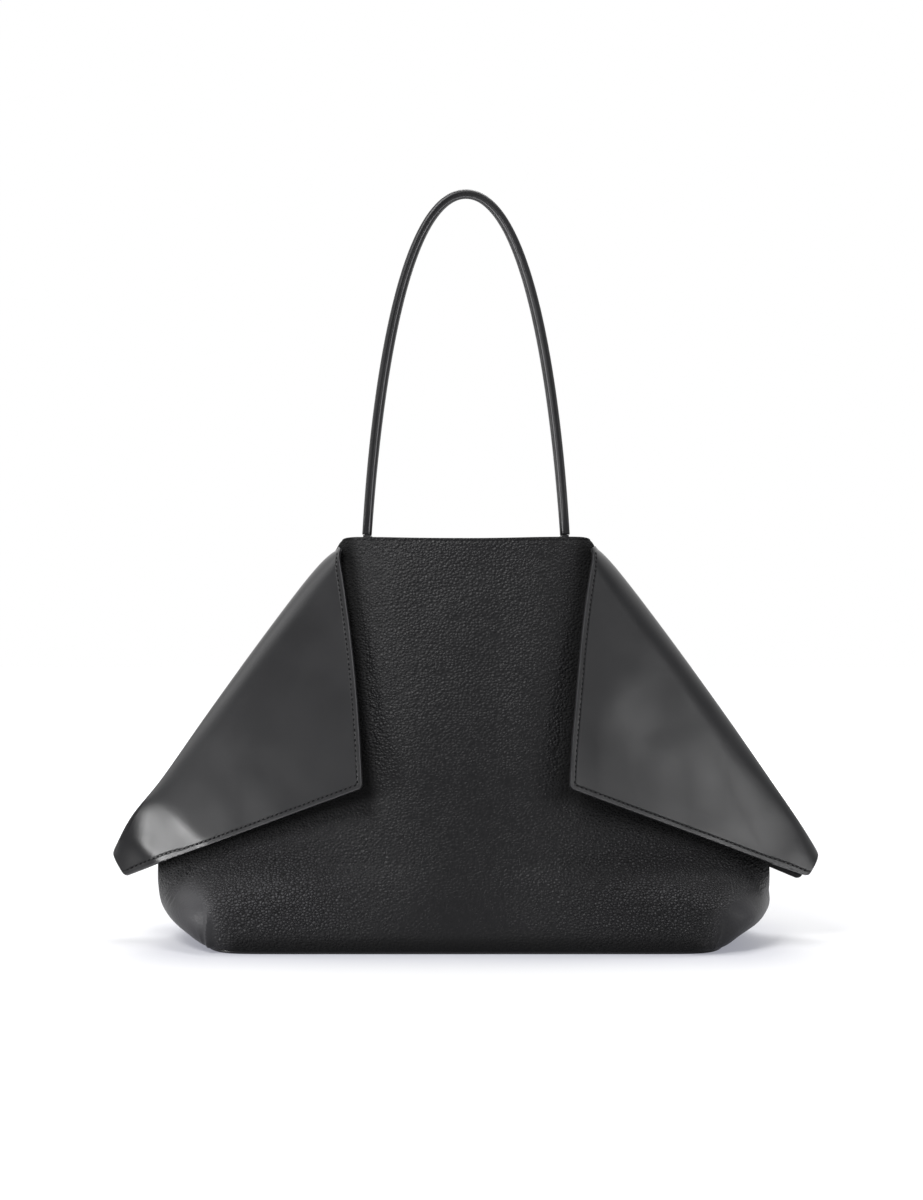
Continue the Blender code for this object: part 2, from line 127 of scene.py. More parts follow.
def move_points(piece, places):
    piece.data.vertices.foreach_set("co", np.asarray(places, dtype=float).ravel())
    piece.data.update()


def modify(piece, kind, **settings):
    """Adds a modifier, sets it up and applies it."""
    pick(piece)
    modifier = piece.modifiers.new(kind.lower(), kind)
    for name, value in settings.items():
        setattr(modifier, name, value)
    bpy.ops.object.modifier_apply(modifier=modifier.name)


def edit(piece, operator, **settings):
    """Runs one mesh operator on all of a piece in edit mode."""
    pick(piece)
    bpy.ops.object.mode_set(mode="EDIT")
    bpy.ops.mesh.select_all(action="SELECT")
    operator(**settings)
    bpy.ops.object.mode_set(mode="OBJECT")


def copy_of(piece, name):
    pick(piece)
    bpy.ops.object.duplicate()
    return named(name)


def mix(start, end, share):
    return start + (end - start) * share


def ease(share):
    """A smooth step from 0 to 1."""
    share = np.clip(share, 0.0, 1.0)
    return share * share * (3.0 - 2.0 * share)


def soft_noise(places, size, seed):
    """Smooth noise from -1 to 1 with features of about the given size, one value for each place."""
    shift = Vector((seed * 7.31, seed * 3.17, seed * 5.73))
    return np.array([noise.noise(Vector(place) / size + shift) for place in places])


# %% [markdown]
# ## Finishes
#
# Leather is a dark colour under a thin sheen, so most of its look is in its relief. Three effects serve
# several finishes, and each is a node group: pebbles pressed into the hide, fine pores, and slow changes of
# tone. A group gives only heights and masks. The shader stays in each material, with its own plain values.

# %% Nodes
def add_node(tree, kind, inputs=None, **settings):
    """Adds a node; an input that is given as a socket is linked, and any other is set."""
    made = tree.nodes.new("ShaderNode" + kind)
    for name, value in settings.items():
        setattr(made, name, value)
    for key, value in (inputs or {}).items():
        if isinstance(value, bpy.types.NodeSocket):
            tree.links.new(value, made.inputs[key])
        else:
            made.inputs[key].default_value = value
    return made


def math_node(tree, operation, first, second=0.0):
    return add_node(tree, "Math", {0: first, 1: second}, operation=operation).outputs[0]


def vector_node(tree, operation, first, second=(0, 0, 0)):
    return add_node(tree, "VectorMath", {0: first, 1: second}, operation=operation).outputs


def spread(tree, value, low, high, out_low=0.0, out_high=1.0):
    """Maps a value from one range to another with a smooth step."""
    values = {"Value": value, "From Min": low, "From Max": high, "To Min": out_low, "To Max": out_high}
    return add_node(tree, "MapRange", values, interpolation_type="SMOOTHSTEP").outputs["Result"]


def mix_colors(tree, share, first, second):
    """Mixes two colours, each a socket or three values."""
    first, second = [colour if isinstance(colour, bpy.types.NodeSocket) else (*colour, 1.0)
                     for colour in (first, second)]
    return add_node(tree, "Mix", {0: share, 6: first, 7: second}, data_type="RGBA").outputs[2]


def new_group(name, inputs, outputs):
    """A node group with named inputs, each with its default, and named outputs."""
    group = bpy.data.node_groups.new(name, "ShaderNodeTree")
    for socket, kind, value in inputs:
        made = group.interface.new_socket(socket, in_out="INPUT", socket_type="NodeSocket" + kind)
        if kind == "Float":
            made.default_value = value
    for socket in outputs:
        group.interface.new_socket(socket, in_out="OUTPUT", socket_type="NodeSocketFloat")
    start = group.nodes.new("NodeGroupInput")
    end = group.nodes.new("NodeGroupOutput")
    return group, start.outputs, end.inputs


# %% Pebbles
def make_pebble_group():
    """Rounded pebbles with creases between them, bent a little so that no two rows run straight."""
    inputs = [("Vector", "Vector", None), ("Pitch", "Float", 0.002), ("Bend", "Float", 0.0012)]
    group, given, put_out = new_group("pebbled_grain", inputs, ["Height", "Crease"])
    bend = add_node(group, "TexNoise", {"Vector": given["Vector"], "Scale": 220.0, "Detail": 2.0})
    centred = vector_node(group, "SUBTRACT", bend.outputs["Color"], (0.5, 0.5, 0.5))[0]
    moved = add_node(group, "VectorMath", {0: centred, "Scale": given["Bend"]}, operation="SCALE")
    bent = vector_node(group, "ADD", given["Vector"], moved.outputs[0])[0]
    pebbles = math_node(group, "DIVIDE", 1.0, given["Pitch"])
    cells = {"Vector": bent, "Scale": pebbles, "Randomness": 0.9}
    dome = add_node(group, "TexVoronoi", dict(cells, Smoothness=0.35), feature="SMOOTH_F1")
    edge = add_node(group, "TexVoronoi", cells, feature="DISTANCE_TO_EDGE")
    rounded = spread(group, dome.outputs["Distance"], 0.0, 0.75, 1.0, 0.0)
    raised = spread(group, edge.outputs["Distance"], 0.0, 0.21)
    fine = math_node(group, "MULTIPLY", pebbles, 3.0)
    grit = add_node(group, "TexNoise", {"Vector": given["Vector"], "Scale": fine, "Detail": 2.0})
    body = math_node(group, "ADD", math_node(group, "MULTIPLY", rounded, 0.7),
                     math_node(group, "MULTIPLY", raised, 0.3))
    height = math_node(group, "ADD", body, math_node(group, "MULTIPLY", grit.outputs["Fac"], 0.05))
    group.links.new(height, put_out["Height"])
    group.links.new(math_node(group, "SUBTRACT", 1.0, raised), put_out["Crease"])
    return group


# %% Pores
def make_pore_group():
    """The almost flat surface of smooth leather: hair pores and a faint skin texture."""
    inputs = [("Vector", "Vector", None), ("Pitch", "Float", 0.0006)]
    group, given, put_out = new_group("smooth_pores", inputs, ["Height"])
    pitch = math_node(group, "DIVIDE", 1.0, given["Pitch"])
    pores = add_node(group, "TexVoronoi", {"Vector": given["Vector"], "Scale": pitch}, feature="F1")
    skin = add_node(group, "TexNoise", {"Vector": given["Vector"], "Scale": pitch, "Detail": 3.0})
    dip = spread(group, pores.outputs["Distance"], 0.0, 0.35)
    height = math_node(group, "ADD", math_node(group, "MULTIPLY", dip, 0.5), skin.outputs["Fac"])
    group.links.new(height, put_out["Height"])
    return group


# %% Slow changes of tone
def make_tone_group():
    """Cloudy shade, from 0 to 1, from the hide itself and from handling."""
    inputs = [("Vector", "Vector", None), ("Size", "Float", 0.05), ("Contrast", "Float", 1.0)]
    group, given, put_out = new_group("hide_tone", inputs, ["Shade"])
    clouds = math_node(group, "DIVIDE", 1.0, given["Size"])
    cloud = add_node(group, "TexNoise", {"Vector": given["Vector"], "Scale": clouds, "Detail": 4.0})
    centred = math_node(group, "SUBTRACT", cloud.outputs["Fac"], 0.5)
    stretched = math_node(group, "MULTIPLY", centred, given["Contrast"])
    shade = add_node(group, "Math", {0: stretched, 1: 0.5}, operation="ADD", use_clamp=True)
    group.links.new(shade.outputs[0], put_out["Shade"])
    return group


pebbled_grain = make_pebble_group()
smooth_pores = make_pore_group()
hide_tone = make_tone_group()
print("groups:", pebbled_grain.name, smooth_pores.name, hide_tone.name)


# %% [markdown]
# ## Leather materials
#
# The body's leather is pebbled and nearly matt, and painted shade darkens the creases between its pebbles.
# Its panels carry three masks that the material reads: where the pebbles are stretched flat, where painted
# light makes the hide lighter, and where painted shade darkens it under and beside the wings and at the foot.
# The wings are smooth, a shade lighter, and take a broad soft sheen. Along a wing's edge the material reads
# how
# far a place is from the cut edge: the seam presses a shallow groove there, darkened by painted shade, and a
# thin painted highlight runs along the edge.

# %% Material helpers
def new_material(name, roughness, specular=0.5):
    material = bpy.data.materials.new(name)
    material.use_nodes = True
    tree = material.node_tree
    shader = tree.nodes["Principled BSDF"]
    shader.inputs["Roughness"].default_value = roughness
    shader.inputs["Specular IOR Level"].default_value = specular
    return material, tree, shader


def object_place(tree):
    return add_node(tree, "TexCoord").outputs["Object"]


def pattern_place(tree):
    return add_node(tree, "UVMap", uv_map="pattern").outputs["UV"]


def read_mask(tree, name):
    return add_node(tree, "Attribute", attribute_name=name).outputs["Fac"]


def place_group(tree, group, **values):
    return add_node(tree, "Group", values, node_tree=group).outputs


def add_relief(tree, shader, height, depth, strength=1.0):
    relief = add_node(tree, "Bump", {"Height": height, "Distance": depth, "Strength": strength})
    tree.links.new(relief.outputs["Normal"], shader.inputs["Normal"])


# %% Pebbled leather
def make_pebbled_leather():
    material, tree, shader = new_material("pebbled_leather_finish", 0.5, 0.36)
    place = object_place(tree)
    squeezed = add_node(tree, "Mapping", {"Vector": place, "Scale": (0.95, 1.0, 1.15)}).outputs["Vector"]
    grain = place_group(tree, pebbled_grain, Vector=squeezed, Pitch=0.0025, Bend=0.0014)
    tone = place_group(tree, hide_tone, Vector=place, Size=0.09, Contrast=1.6)["Shade"]
    left = spread(tree, read_mask(tree, "stretched"), 0.0, 1.0, 1.0, 0.04)
    pressed = math_node(tree, "MULTIPLY", grain["Crease"], left)
    painted_shade = read_mask(tree, "painted_shade")
    colour = mix_colors(tree, tone, (0.0054, 0.0052, 0.0059), (0.0088, 0.0084, 0.0093))
    # Painted light: the hide is mixed lighter where light falls on the cushions and corners.
    colour = mix_colors(tree, read_mask(tree, "painted_light"), colour, (0.0600, 0.0590, 0.0630))
    # Painted shade: the creases between the pebbles are darkened.
    colour = mix_colors(tree, pressed, colour, (0.0028, 0.0027, 0.0030))
    # Painted shade: near black under and beside the wings and at the foot.
    colour = mix_colors(tree, painted_shade, colour, (0.0010, 0.0010, 0.0011))
    tree.links.new(colour, shader.inputs["Base Color"])
    rough = spread(tree, math_node(tree, "MAXIMUM", pressed, painted_shade), 0.0, 1.0, 0.43, 0.88)
    tree.links.new(rough, shader.inputs["Roughness"])
    firm = spread(tree, tone, 0.0, 1.0, 0.75, 1.0)
    height = math_node(tree, "MULTIPLY", grain["Height"], math_node(tree, "MULTIPLY", firm, left))
    add_relief(tree, shader, height, 0.0025)
    return material


# %% Smooth leather
SEAM_INSET = 0.0038
SEAM_GROOVE = 0.0011


def make_smooth_leather(name, dark, light, roughness, edged):
    """Smooth leather; an edged piece carries the distance to its cut edge and its flat pattern."""
    material, tree, shader = new_material(name, roughness)
    place = object_place(tree)
    pores = place_group(tree, smooth_pores, Vector=pattern_place(tree) if edged else place, Pitch=0.00063)
    tone = place_group(tree, hide_tone, Vector=place, Size=0.06, Contrast=1.8)["Shade"]
    colour = mix_colors(tree, tone, dark, light)
    height = math_node(tree, "MULTIPLY", pores["Height"], 0.00003)
    if edged:
        distance = read_mask(tree, "edge_distance")
        aside = math_node(tree, "ABSOLUTE", math_node(tree, "SUBTRACT", distance, SEAM_INSET))
        groove_and_shade = spread(tree, aside, 0.0, SEAM_GROOVE, 1.0, 0.0)
        height = math_node(tree, "SUBTRACT", height, math_node(tree, "MULTIPLY", groove_and_shade, 0.00022))
        # Painted shade: the seam groove is darkened.
        colour = mix_colors(tree, math_node(tree, "MULTIPLY", groove_and_shade, 0.7), colour, (0.004, 0.004, 0.0042))
        # Painted highlight: a thin light line along the cut edge.
        painted_light = spread(tree, distance, 0.0003, 0.0012, 0.7, 0.0)
        colour = mix_colors(tree, painted_light, colour, (0.070, 0.069, 0.072))
    tree.links.new(colour, shader.inputs["Base Color"])
    rough = spread(tree, tone, 0.0, 1.0, roughness - 0.025, roughness + 0.025)
    tree.links.new(rough, shader.inputs["Roughness"])
    add_relief(tree, shader, height, 1.0, 0.8)
    return material


# %% [markdown]
# ## Paint, thread, cloth, board and metal
#
# The small materials are simpler. In most of them one fine pattern does both jobs: it changes the colour, and
# it raises the relief. One function makes them all, from the pattern, two colours and a depth. The woven
# lining needs two wave patterns across each other, and the snap also needs a metal's mirror and scratches.

# %% Small finishes
def make_patterned(name, roughness, specular, kind, values, dark, light, depth, sharp=False, **settings):
    """A finish whose one fine pattern changes its colour and raises its relief."""
    material, tree, shader = new_material(name, roughness, specular)
    values = dict(values, Vector=object_place(tree))
    pattern = add_node(tree, kind, values, **settings).outputs["Fac"]
    share = spread(tree, pattern, 0.3, 0.7) if sharp else pattern
    tree.links.new(mix_colors(tree, share, dark, light), shader.inputs["Base Color"])
    add_relief(tree, shader, pattern, depth)
    return material


def make_woven_cloth():
    """The lining: a plain weave of dark threads, one third of a millimetre apart."""
    material, tree, shader = new_material("woven_lining_finish", 0.85, 0.25)
    shader.inputs["Sheen Weight"].default_value = 0.25
    place = pattern_place(tree)
    warp = add_node(tree, "TexWave", {"Vector": place, "Scale": 160.0}, bands_direction="X").outputs["Fac"]
    weft = add_node(tree, "TexWave", {"Vector": place, "Scale": 160.0}, bands_direction="Y").outputs["Fac"]
    weave = math_node(tree, "MAXIMUM", warp, weft)
    tone = place_group(tree, hide_tone, Vector=place, Size=0.03, Contrast=1.5)["Shade"]
    cloth = mix_colors(tree, tone, (0.020, 0.019, 0.021), (0.034, 0.033, 0.035))
    tree.links.new(mix_colors(tree, weave, (0.010, 0.010, 0.011), cloth), shader.inputs["Base Color"])
    add_relief(tree, shader, weave, 0.00012)
    return material


def make_dark_nickel():
    """Tumbled dark nickel: a soft metal gloss with fine scratches."""
    material = make_patterned("dark_nickel_finish", 0.3, 0.5, "TexNoise", {"Scale": 2500.0, "Detail": 4.0},
                              (0.22, 0.21, 0.21), (0.36, 0.35, 0.34), 0.00003)
    tree = material.node_tree
    shader = tree.nodes["Principled BSDF"]
    shader.inputs["Metallic"].default_value = 1.0
    scratches = tree.nodes["Noise Texture"].outputs["Fac"]
    tree.links.new(spread(tree, scratches, 0.3, 0.7, 0.22, 0.42), shader.inputs["Roughness"])
    return material


# %% All the finishes
pebbled_leather = make_pebbled_leather()
wing_leather = make_smooth_leather("wing_leather_finish", (0.0115, 0.0112, 0.0120), (0.0175, 0.0172, 0.0182),
                                   0.32, True)
wing_lining = make_smooth_leather("wing_lining_finish", (0.012, 0.0115, 0.012), (0.020, 0.0195, 0.020),
                                  0.62, True)
strap_leather = make_smooth_leather("strap_leather_finish", (0.0075, 0.0072, 0.0080),
                                    (0.0130, 0.0125, 0.0135), 0.40, False)
edge_paint = make_patterned("edge_paint_finish", 0.35, 0.4, "TexNoise", {"Scale": 420.0, "Detail": 1.0},
                            (0.014, 0.0137, 0.0145), (0.024, 0.0235, 0.025), 0.00008)
handle_edge_paint = make_patterned("handle_edge_paint_finish", 0.35, 0.4, "TexNoise",
                                   {"Scale": 420.0, "Detail": 1.0},
                                   (0.15, 0.148, 0.152), (0.20, 0.197, 0.202), 0.00002)
thread = make_patterned("thread_finish", 0.6, 0.2, "TexWave", {"Scale": 900.0, "Distortion": 1.0},
                        (0.003, 0.003, 0.0032), (0.009, 0.009, 0.0095), 0.00008)
fibre_board = make_patterned("fibre_board_finish", 0.8, 0.3, "TexNoise", {"Scale": 500.0, "Detail": 6.0},
                             (0.09, 0.07, 0.05), (0.20, 0.17, 0.13), 0.0002, sharp=True)
cotton_cord = make_patterned("cotton_cord_finish", 0.9, 0.2, "TexWave", {"Scale": 260.0, "Distortion": 0.6},
                             (0.34, 0.31, 0.26), (0.60, 0.57, 0.50), 0.0003, bands_direction="DIAGONAL")
woven_cloth = make_woven_cloth()
dark_nickel = make_dark_nickel()
print("finishes:", len(bpy.data.materials))

# %% [markdown]
# ## The shape of the body
#
# The body is two panels sewn at the sides. Low down it is boxed, so a slice through it is almost a rectangle.
# Under the wings its flanks are pressed in, and at the mouth it is a long oval. One formula gives all of
# this: the half-width and half-depth at a height, and how squarely the slice turns towards the side seam.

# %% Body sizes
BODY_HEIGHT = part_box("front_panel")[1].z
base_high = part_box("base_panel")[1]
BASE_HALF_LENGTH = base_high.x
BASE_HALF_DEPTH = base_high.y
BELLY_HALF_WIDTH = 0.251
BELLY_HALF_DEPTH = 0.0732
BELLY_HEIGHT = 0.058
SHOULDER_HEIGHT = 0.085
FULLEST_HEIGHT = 0.036
MOUTH_HALF_WIDTH = 0.1062
MOUTH_HALF_DEPTH = 0.029
MOUTH_DIP = 0.0094
MOUTH_CORNER_LIFT = 0.0010
MOUTH_SAG = 0.0016
SEAM_TOP = BODY_HEIGHT - MOUTH_DIP
FOOT_SQUARENESS = 20.0
TOP_SQUARENESS = 2.1
SQUARE_HEIGHT = 0.070
BELLY_FLANK = 0.8
MOUTH_FLANK = 0.45
PANEL_BULGE = 0.003
PANEL_LEATHER = 0.0018


def half_width(height):
    """Half-width at the side seams: it flares from the base, then runs in along the shoulder."""
    climb = np.clip(height / BELLY_HEIGHT, None, 1.0)
    flare = mix(BASE_HALF_LENGTH, BELLY_HALF_WIDTH, 1.0 - (1.0 - climb) ** 3)
    run = (height - SHOULDER_HEIGHT) / (SEAM_TOP - SHOULDER_HEIGHT)
    shoulder = mix(BELLY_HALF_WIDTH, MOUTH_HALF_WIDTH, run)
    softness = 0.006
    return -softness * np.log(np.exp(-flare / softness) + np.exp(-shoulder / softness))


def half_depth(height):
    """Half-depth in the middle: fullest at the belly, then straight up to the mouth."""
    low = mix(BASE_HALF_DEPTH, BELLY_HALF_DEPTH, height / FULLEST_HEIGHT)
    climb = (height - FULLEST_HEIGHT) / (BODY_HEIGHT - FULLEST_HEIGHT)
    high = mix(BELLY_HALF_DEPTH, MOUTH_HALF_DEPTH, climb)
    softness = 0.0050
    narrower = -softness * np.logaddexp(-low / softness, -high / softness)
    return narrower + PANEL_BULGE * np.sin(np.pi * np.clip(climb, 0.0, 1.0)) ** 2


def mouth_dip(height):
    """How far a level line of the panel drops at the side seams; nearly nothing below the shoulder."""
    return MOUTH_DIP * (height / BODY_HEIGHT) ** 6


def skin(sideways, height):
    """Places on the plain front panel; sideways runs from -1 to 1, from seam to seam."""
    share = np.abs(sideways)
    squareness = mix(FOOT_SQUARENESS, TOP_SQUARENESS, ease(height / SQUARE_HEIGHT))
    low_flank = mix(1.0, BELLY_FLANK, ease(height / SHOULDER_HEIGHT))
    climb = (height - SHOULDER_HEIGHT) / (BODY_HEIGHT - SHOULDER_HEIGHT)
    high_flank = mix(BELLY_FLANK, MOUTH_FLANK, ease(climb))
    flank = np.where(height < SHOULDER_HEIGHT, low_flank, high_flank)
    dip = mouth_dip(height)
    x = sideways * half_width(height - dip)
    y = -half_depth(height) * np.clip(1.0 - share ** squareness, 0.0, None) ** flank
    return np.stack([x, y, height - dip * share ** 26], axis=-1)


def mouth_lift(sideways, height):
    """The mouth stands a little high at its corners and sags in the middle."""
    return (height / BODY_HEIGHT) ** 8 * (MOUTH_CORNER_LIFT - MOUTH_SAG * (1 - sideways ** 2) ** 2)


def skin_normal(sideways, height):
    step = 0.0008
    right = skin(np.clip(sideways + step, -1, 1), height) - skin(np.clip(sideways - step, -1, 1), height)
    up = skin(sideways, height + step) - skin(sideways, height - step)
    normal = np.cross(right, up)
    return normal / np.linalg.norm(normal, axis=-1, keepdims=True)


print("body:", round(BODY_HEIGHT * 1000), "mm high")

# %% [markdown]
# ## Creases and hollows
#
# Soft leather over a firm board creases where it is folded and sinks where something presses on it. Each
# crease is a line on the panel, seen from the front, with a width, a height and a fade. The boxed corners
# have a sharp crease at the foot and small puckers under the wing, and left and right differ. Beside the
# wings the panel sinks a little. The three masks for the leather are worked out from the same places.

# %% Creases
def crease(x, z, start, end, width, height):
    """A soft ridge, or a hollow if its height is negative, along a line from start to end."""
    start = np.array(start)
    run = np.array(end) - start
    length = np.linalg.norm(run)
    along = ((x - start[0]) * run[0] + (z - start[1]) * run[1]) / length
    aside = ((x - start[0]) * run[1] - (z - start[1]) * run[0]) / length
    beyond = np.clip(np.maximum(-along, along - length), 0.0, None)
    fade = 1.0 - ease(np.clip(along / length, 0.0, 1.0) - 0.35)
    return height * fade * np.exp(-(aside / width) ** 2 - (beyond / width) ** 2)


def hill(x, z, centre, size, height):
    """A soft round hill, or a hollow, of a given size each way."""
    return height * np.exp(-((x - centre[0]) / size[0]) ** 2 - ((z - centre[1]) / size[1]) ** 2)


def tucked_outline(x, z):
    """How far the side seams really lie inside the even outline, more on the right than on the left."""
    foot = np.exp(-((z - 0.008) / 0.009) ** 2)
    belly = ease((z - 0.026) / 0.016) * (1 - ease((z - 0.070) / 0.020))
    inside = np.where(x > 0, 0.0095 * foot + 0.0044 * belly, 0.0042 * foot + 0.0006 * belly)
    return -np.sign(x) * inside * np.clip(np.abs(x) / half_width(z), 0.0, 1.0) ** 10


CORNERS = {
    -1: {"creases": [((0.2010, 0.004), (0.1995, 0.036), 0.0024, 0.0030),
                     ((0.2068, 0.006), (0.2082, 0.024), 0.0012, 0.0007)],
         "hills": [((0.2200, 0.026), (0.012, 0.014), -0.0012)],
         "puckers": (3, 0.0029, 0.0013)},
    1: {"creases": [((0.1860, 0.004), (0.1400, 0.036), 0.0050, 0.0032),
                    ((0.1925, 0.001), (0.1975, 0.024), 0.0022, 0.0020)],
        "hills": [((0.1930, 0.034), (0.012, 0.014), -0.0016), ((0.2260, 0.024), (0.012, 0.009), 0.0020)],
        "puckers": (6, 0.0021, 0.0006)},
}
PUCKER_TOP = (0.2240, 0.064)
PUCKER_RUN = (0.0150, -0.028)


def corner_creases(x, z, side):
    """The boxed corner: ridges at its foot, the smooth facet behind them, and puckers under the wing."""
    corner = CORNERS[side]
    total = sum(crease(side * x, z, *row) for row in corner["creases"])
    total += sum(hill(side * x, z, *row) for row in corner["hills"])
    folds, pitch, deep = corner["puckers"]
    for index in range(folds):
        shift = index * pitch
        for beside, height in ((0.0, deep * (1 - 0.10 * index)), (pitch / 2, -deep)):
            start = np.array(PUCKER_TOP) + (beside - shift, -0.6 * shift)
            total += crease(side * x, z, start, start + PUCKER_RUN, pitch * 0.30, height)
    return total


def facet_share(places):
    """How much the pebbles are stretched flat: fully on the boxed corners, least low beside the middle."""
    x, z = places[:, 0], places[:, 2]
    facet = hill(x, z, (-0.218, 0.022), (0.018, 0.020), 2.0)
    facet += hill(x, z, (0.220, 0.018), (0.020, 0.019), 2.0)
    middle = 0.14 * np.exp(-(x / 0.060) ** 2)
    return np.clip(0.63 + facet - 0.63 * plump_share(places) + middle, 0.0, 1.0)


def plump_share(places):
    """How much a place belongs to the two full cushions low at the sides, where the grain stands out."""
    x, z = np.abs(places[:, 0]), places[:, 2]
    return np.exp(-((x - 0.155) / 0.065) ** 2 - ((z - 0.048) / 0.036) ** 2)


def painted_light_share(places):
    """How much painted light makes the hide lighter: on the cushions and corners, more on the left."""
    x, z = places[:, 0], places[:, 2]
    corner = hill(x, z, (-0.214, 0.024), (0.018, 0.020), 0.6)
    corner += hill(x, z, (0.222, 0.024), (0.015, 0.014), 0.55)
    return np.clip(corner + plump_share(places) * np.where(x < 0, 0.85, 0.5), 0.0, 1.0)


INNER_LINE = ((0.082, 0.129), (-0.9962, 0.0903))
LOWER_LINE = ((0.082, 0.127), (-0.3387, -0.9410))
SIDE_CREASES = [
    ((0.095, 0.300), (0.074, 0.120), 0.013, -0.0032),
    ((0.060, 0.290), (0.040, 0.150), 0.020, 0.0016),
    ((0.080, 0.118), (0.225, 0.064), 0.014, -0.0024),
]
CUSHION = ((0.150, 0.040), (0.055, 0.020), 0.0024)
BROAD_UNEVENNESS = 0.0010
FINE_UNEVENNESS = 0.00035
EDGE_GROOVE = 0.0005
FOOT_TUCK = 0.0028
SEAM_TUCK = 0.0010


def painted_shade_share(places):
    """How much painted shade darkens a place under or close beside a wing, and low at the foot."""
    x, z = np.abs(places[:, 0]), places[:, 2]
    gaps = [(x - start[0]) * out[0] + (z - start[1]) * out[1] for start, out in (INNER_LINE, LOWER_LINE)]
    beside = 1 - ease((np.maximum(*gaps) - 0.001) / 0.019)
    foot = (1 - ease((z - 0.004) / 0.020)) * (1 - ease((x - 0.175) / 0.020))
    return np.maximum(beside, foot)


def panel_relief(places, seed, crumpled):
    """How far the real panel stands out from the plain shape; crumpled scales its corner creases."""
    x, z = places[:, 0], places[:, 2]
    total = BROAD_UNEVENNESS * soft_noise(places, 0.075, seed)
    total += FINE_UNEVENNESS * soft_noise(places, 0.022, seed + 1)
    for side in (-1, 1):
        total += crumpled * corner_creases(x, z, side) * ease(z / 0.007)
        total += sum(crease(side * x, z, *row) for row in SIDE_CREASES) + hill(side * x, z, *CUSHION)
    pressed = np.exp(-((BODY_HEIGHT - z - 0.0027) / 0.0007) ** 2)
    total -= EDGE_GROOVE * pressed
    tucked = np.clip(1.0 - z / 0.009, 0.0, 1.0)
    total -= FOOT_TUCK * tucked ** 2
    seam = np.clip(1.0 - (half_width(z) - np.abs(x)) / 0.003, 0.0, 1.0)
    return total - SEAM_TUCK * seam ** 2


# %% [markdown]
# ## The two body panels
#
# Each panel starts as a flat grid, seam to seam and foot to mouth, with its rows and columns crowded where
# the leather does most: at the foot, at the mouth and near the side seams. The grid is laid on the shape,
# pushed out and in by the relief, and given its 1.8 mm of leather. Its cut edges are painted.

# %% Sheets
MERGE_DISTANCE = 0.00002
SMOOTH_ANGLE = math.radians(50)
ROUNDING_ANGLE = math.radians(60)


def flat_grid(name, columns, rows):
    """A flat grid from 0 to 1 each way, columns along X and rows along Y."""
    bpy.ops.mesh.primitive_grid_add(x_subdivisions=columns, y_subdivisions=rows, size=1.0,
                                    location=(0.5, 0.5, 0.0))
    made = named(name)
    bpy.ops.object.transform_apply(location=True, rotation=True, scale=True)
    return made


def crowded(flat):
    """Even columns turned into places from -1 to 1 that crowd towards the side seams."""
    return np.sin(np.pi * (flat[:, 0] - 0.5))


def turn_over(piece):
    edit(piece, bpy.ops.mesh.flip_normals)


def lay_sheet(sheet, places, face, gap):
    """Keeps the sheet in front of the bag's middle plane, and mirrors it where it is for the back."""
    places[:, 1] = np.minimum(places[:, 1], -gap)
    if face > 0:
        places[:, 1] *= -1
        turn_over(sheet)
    move_points(sheet, places)


def add_mask(sheet, name, values):
    sheet.data.attributes.new(name, "FLOAT", "POINT").data.foreach_set("value", values)


def add_pattern_uv(piece, flat, wide=1.0, tall=1.0):
    """A UV map in metres, so that a weave or a grain follows the piece."""
    layer = piece.data.uv_layers.new(name="pattern")
    corners = np.empty(len(piece.data.loops), dtype=int)
    piece.data.loops.foreach_get("vertex_index", corners)
    layer.data.foreach_set("uv", (flat[corners, :2] * (wide, tall)).ravel())


def smooth_by_angle(piece):
    pick(piece)
    bpy.ops.object.shade_smooth_by_angle(angle=SMOOTH_ANGLE)


def give_wall(piece, finish, thickness, rounding):
    """The finish, leather thickness behind the sheet, and rounded, painted cut edges."""
    piece.data.materials.append(finish)
    piece.data.materials.append(edge_paint)
    modify(piece, "SOLIDIFY", thickness=thickness, offset=-1.0, material_offset_rim=1)
    modify(piece, "BEVEL", width=rounding, segments=2, limit_method="ANGLE", angle_limit=ROUNDING_ANGLE)
    smooth_by_angle(piece)


# %% Panels
PANEL_COLUMNS = 220
PANEL_ROUNDING = 0.0006
PANEL_FOOT = 0.0019
FINE_FOOT = 0.072
FINE_MOUTH = 0.012


def panel_heights():
    """Heights of the rows: fine at the foot and the mouth, coarser between."""
    foot = np.linspace(PANEL_FOOT, FINE_FOOT, 64, endpoint=False)
    middle = np.linspace(FINE_FOOT, BODY_HEIGHT - FINE_MOUTH, 90, endpoint=False)
    mouth = np.linspace(BODY_HEIGHT - FINE_MOUTH, BODY_HEIGHT, 20)
    return np.concatenate([foot, middle, mouth])


def make_panel(word, face, seed, crumpled):
    rows = panel_heights()
    sheet = flat_grid(word + "_panel_leather", PANEL_COLUMNS, len(rows) - 1)
    flat = points_of(sheet)
    sideways = crowded(flat)
    height = rows[np.rint(flat[:, 1] * (len(rows) - 1)).astype(int)]
    places = skin(sideways, height)
    places += skin_normal(sideways * 0.999, height) * panel_relief(places, seed, crumpled)[:, None]
    places[:, 0] += tucked_outline(places[:, 0], height)
    places[:, 2] += mouth_lift(sideways, height)
    lay_sheet(sheet, places, face, 0.0001)
    for name, share_of in (("stretched", facet_share), ("painted_shade", painted_shade_share), ("painted_light", painted_light_share)):
        add_mask(sheet, name, share_of(places))
    give_wall(sheet, pebbled_leather, PANEL_LEATHER, PANEL_ROUNDING)
    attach(sheet, "body")
    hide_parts(word + "_panel")
    print(sheet.name, len(sheet.data.polygons), "faces")


make_panel("front", -1, 3, 1.0)
make_panel("back", 1, 11, 0.5)

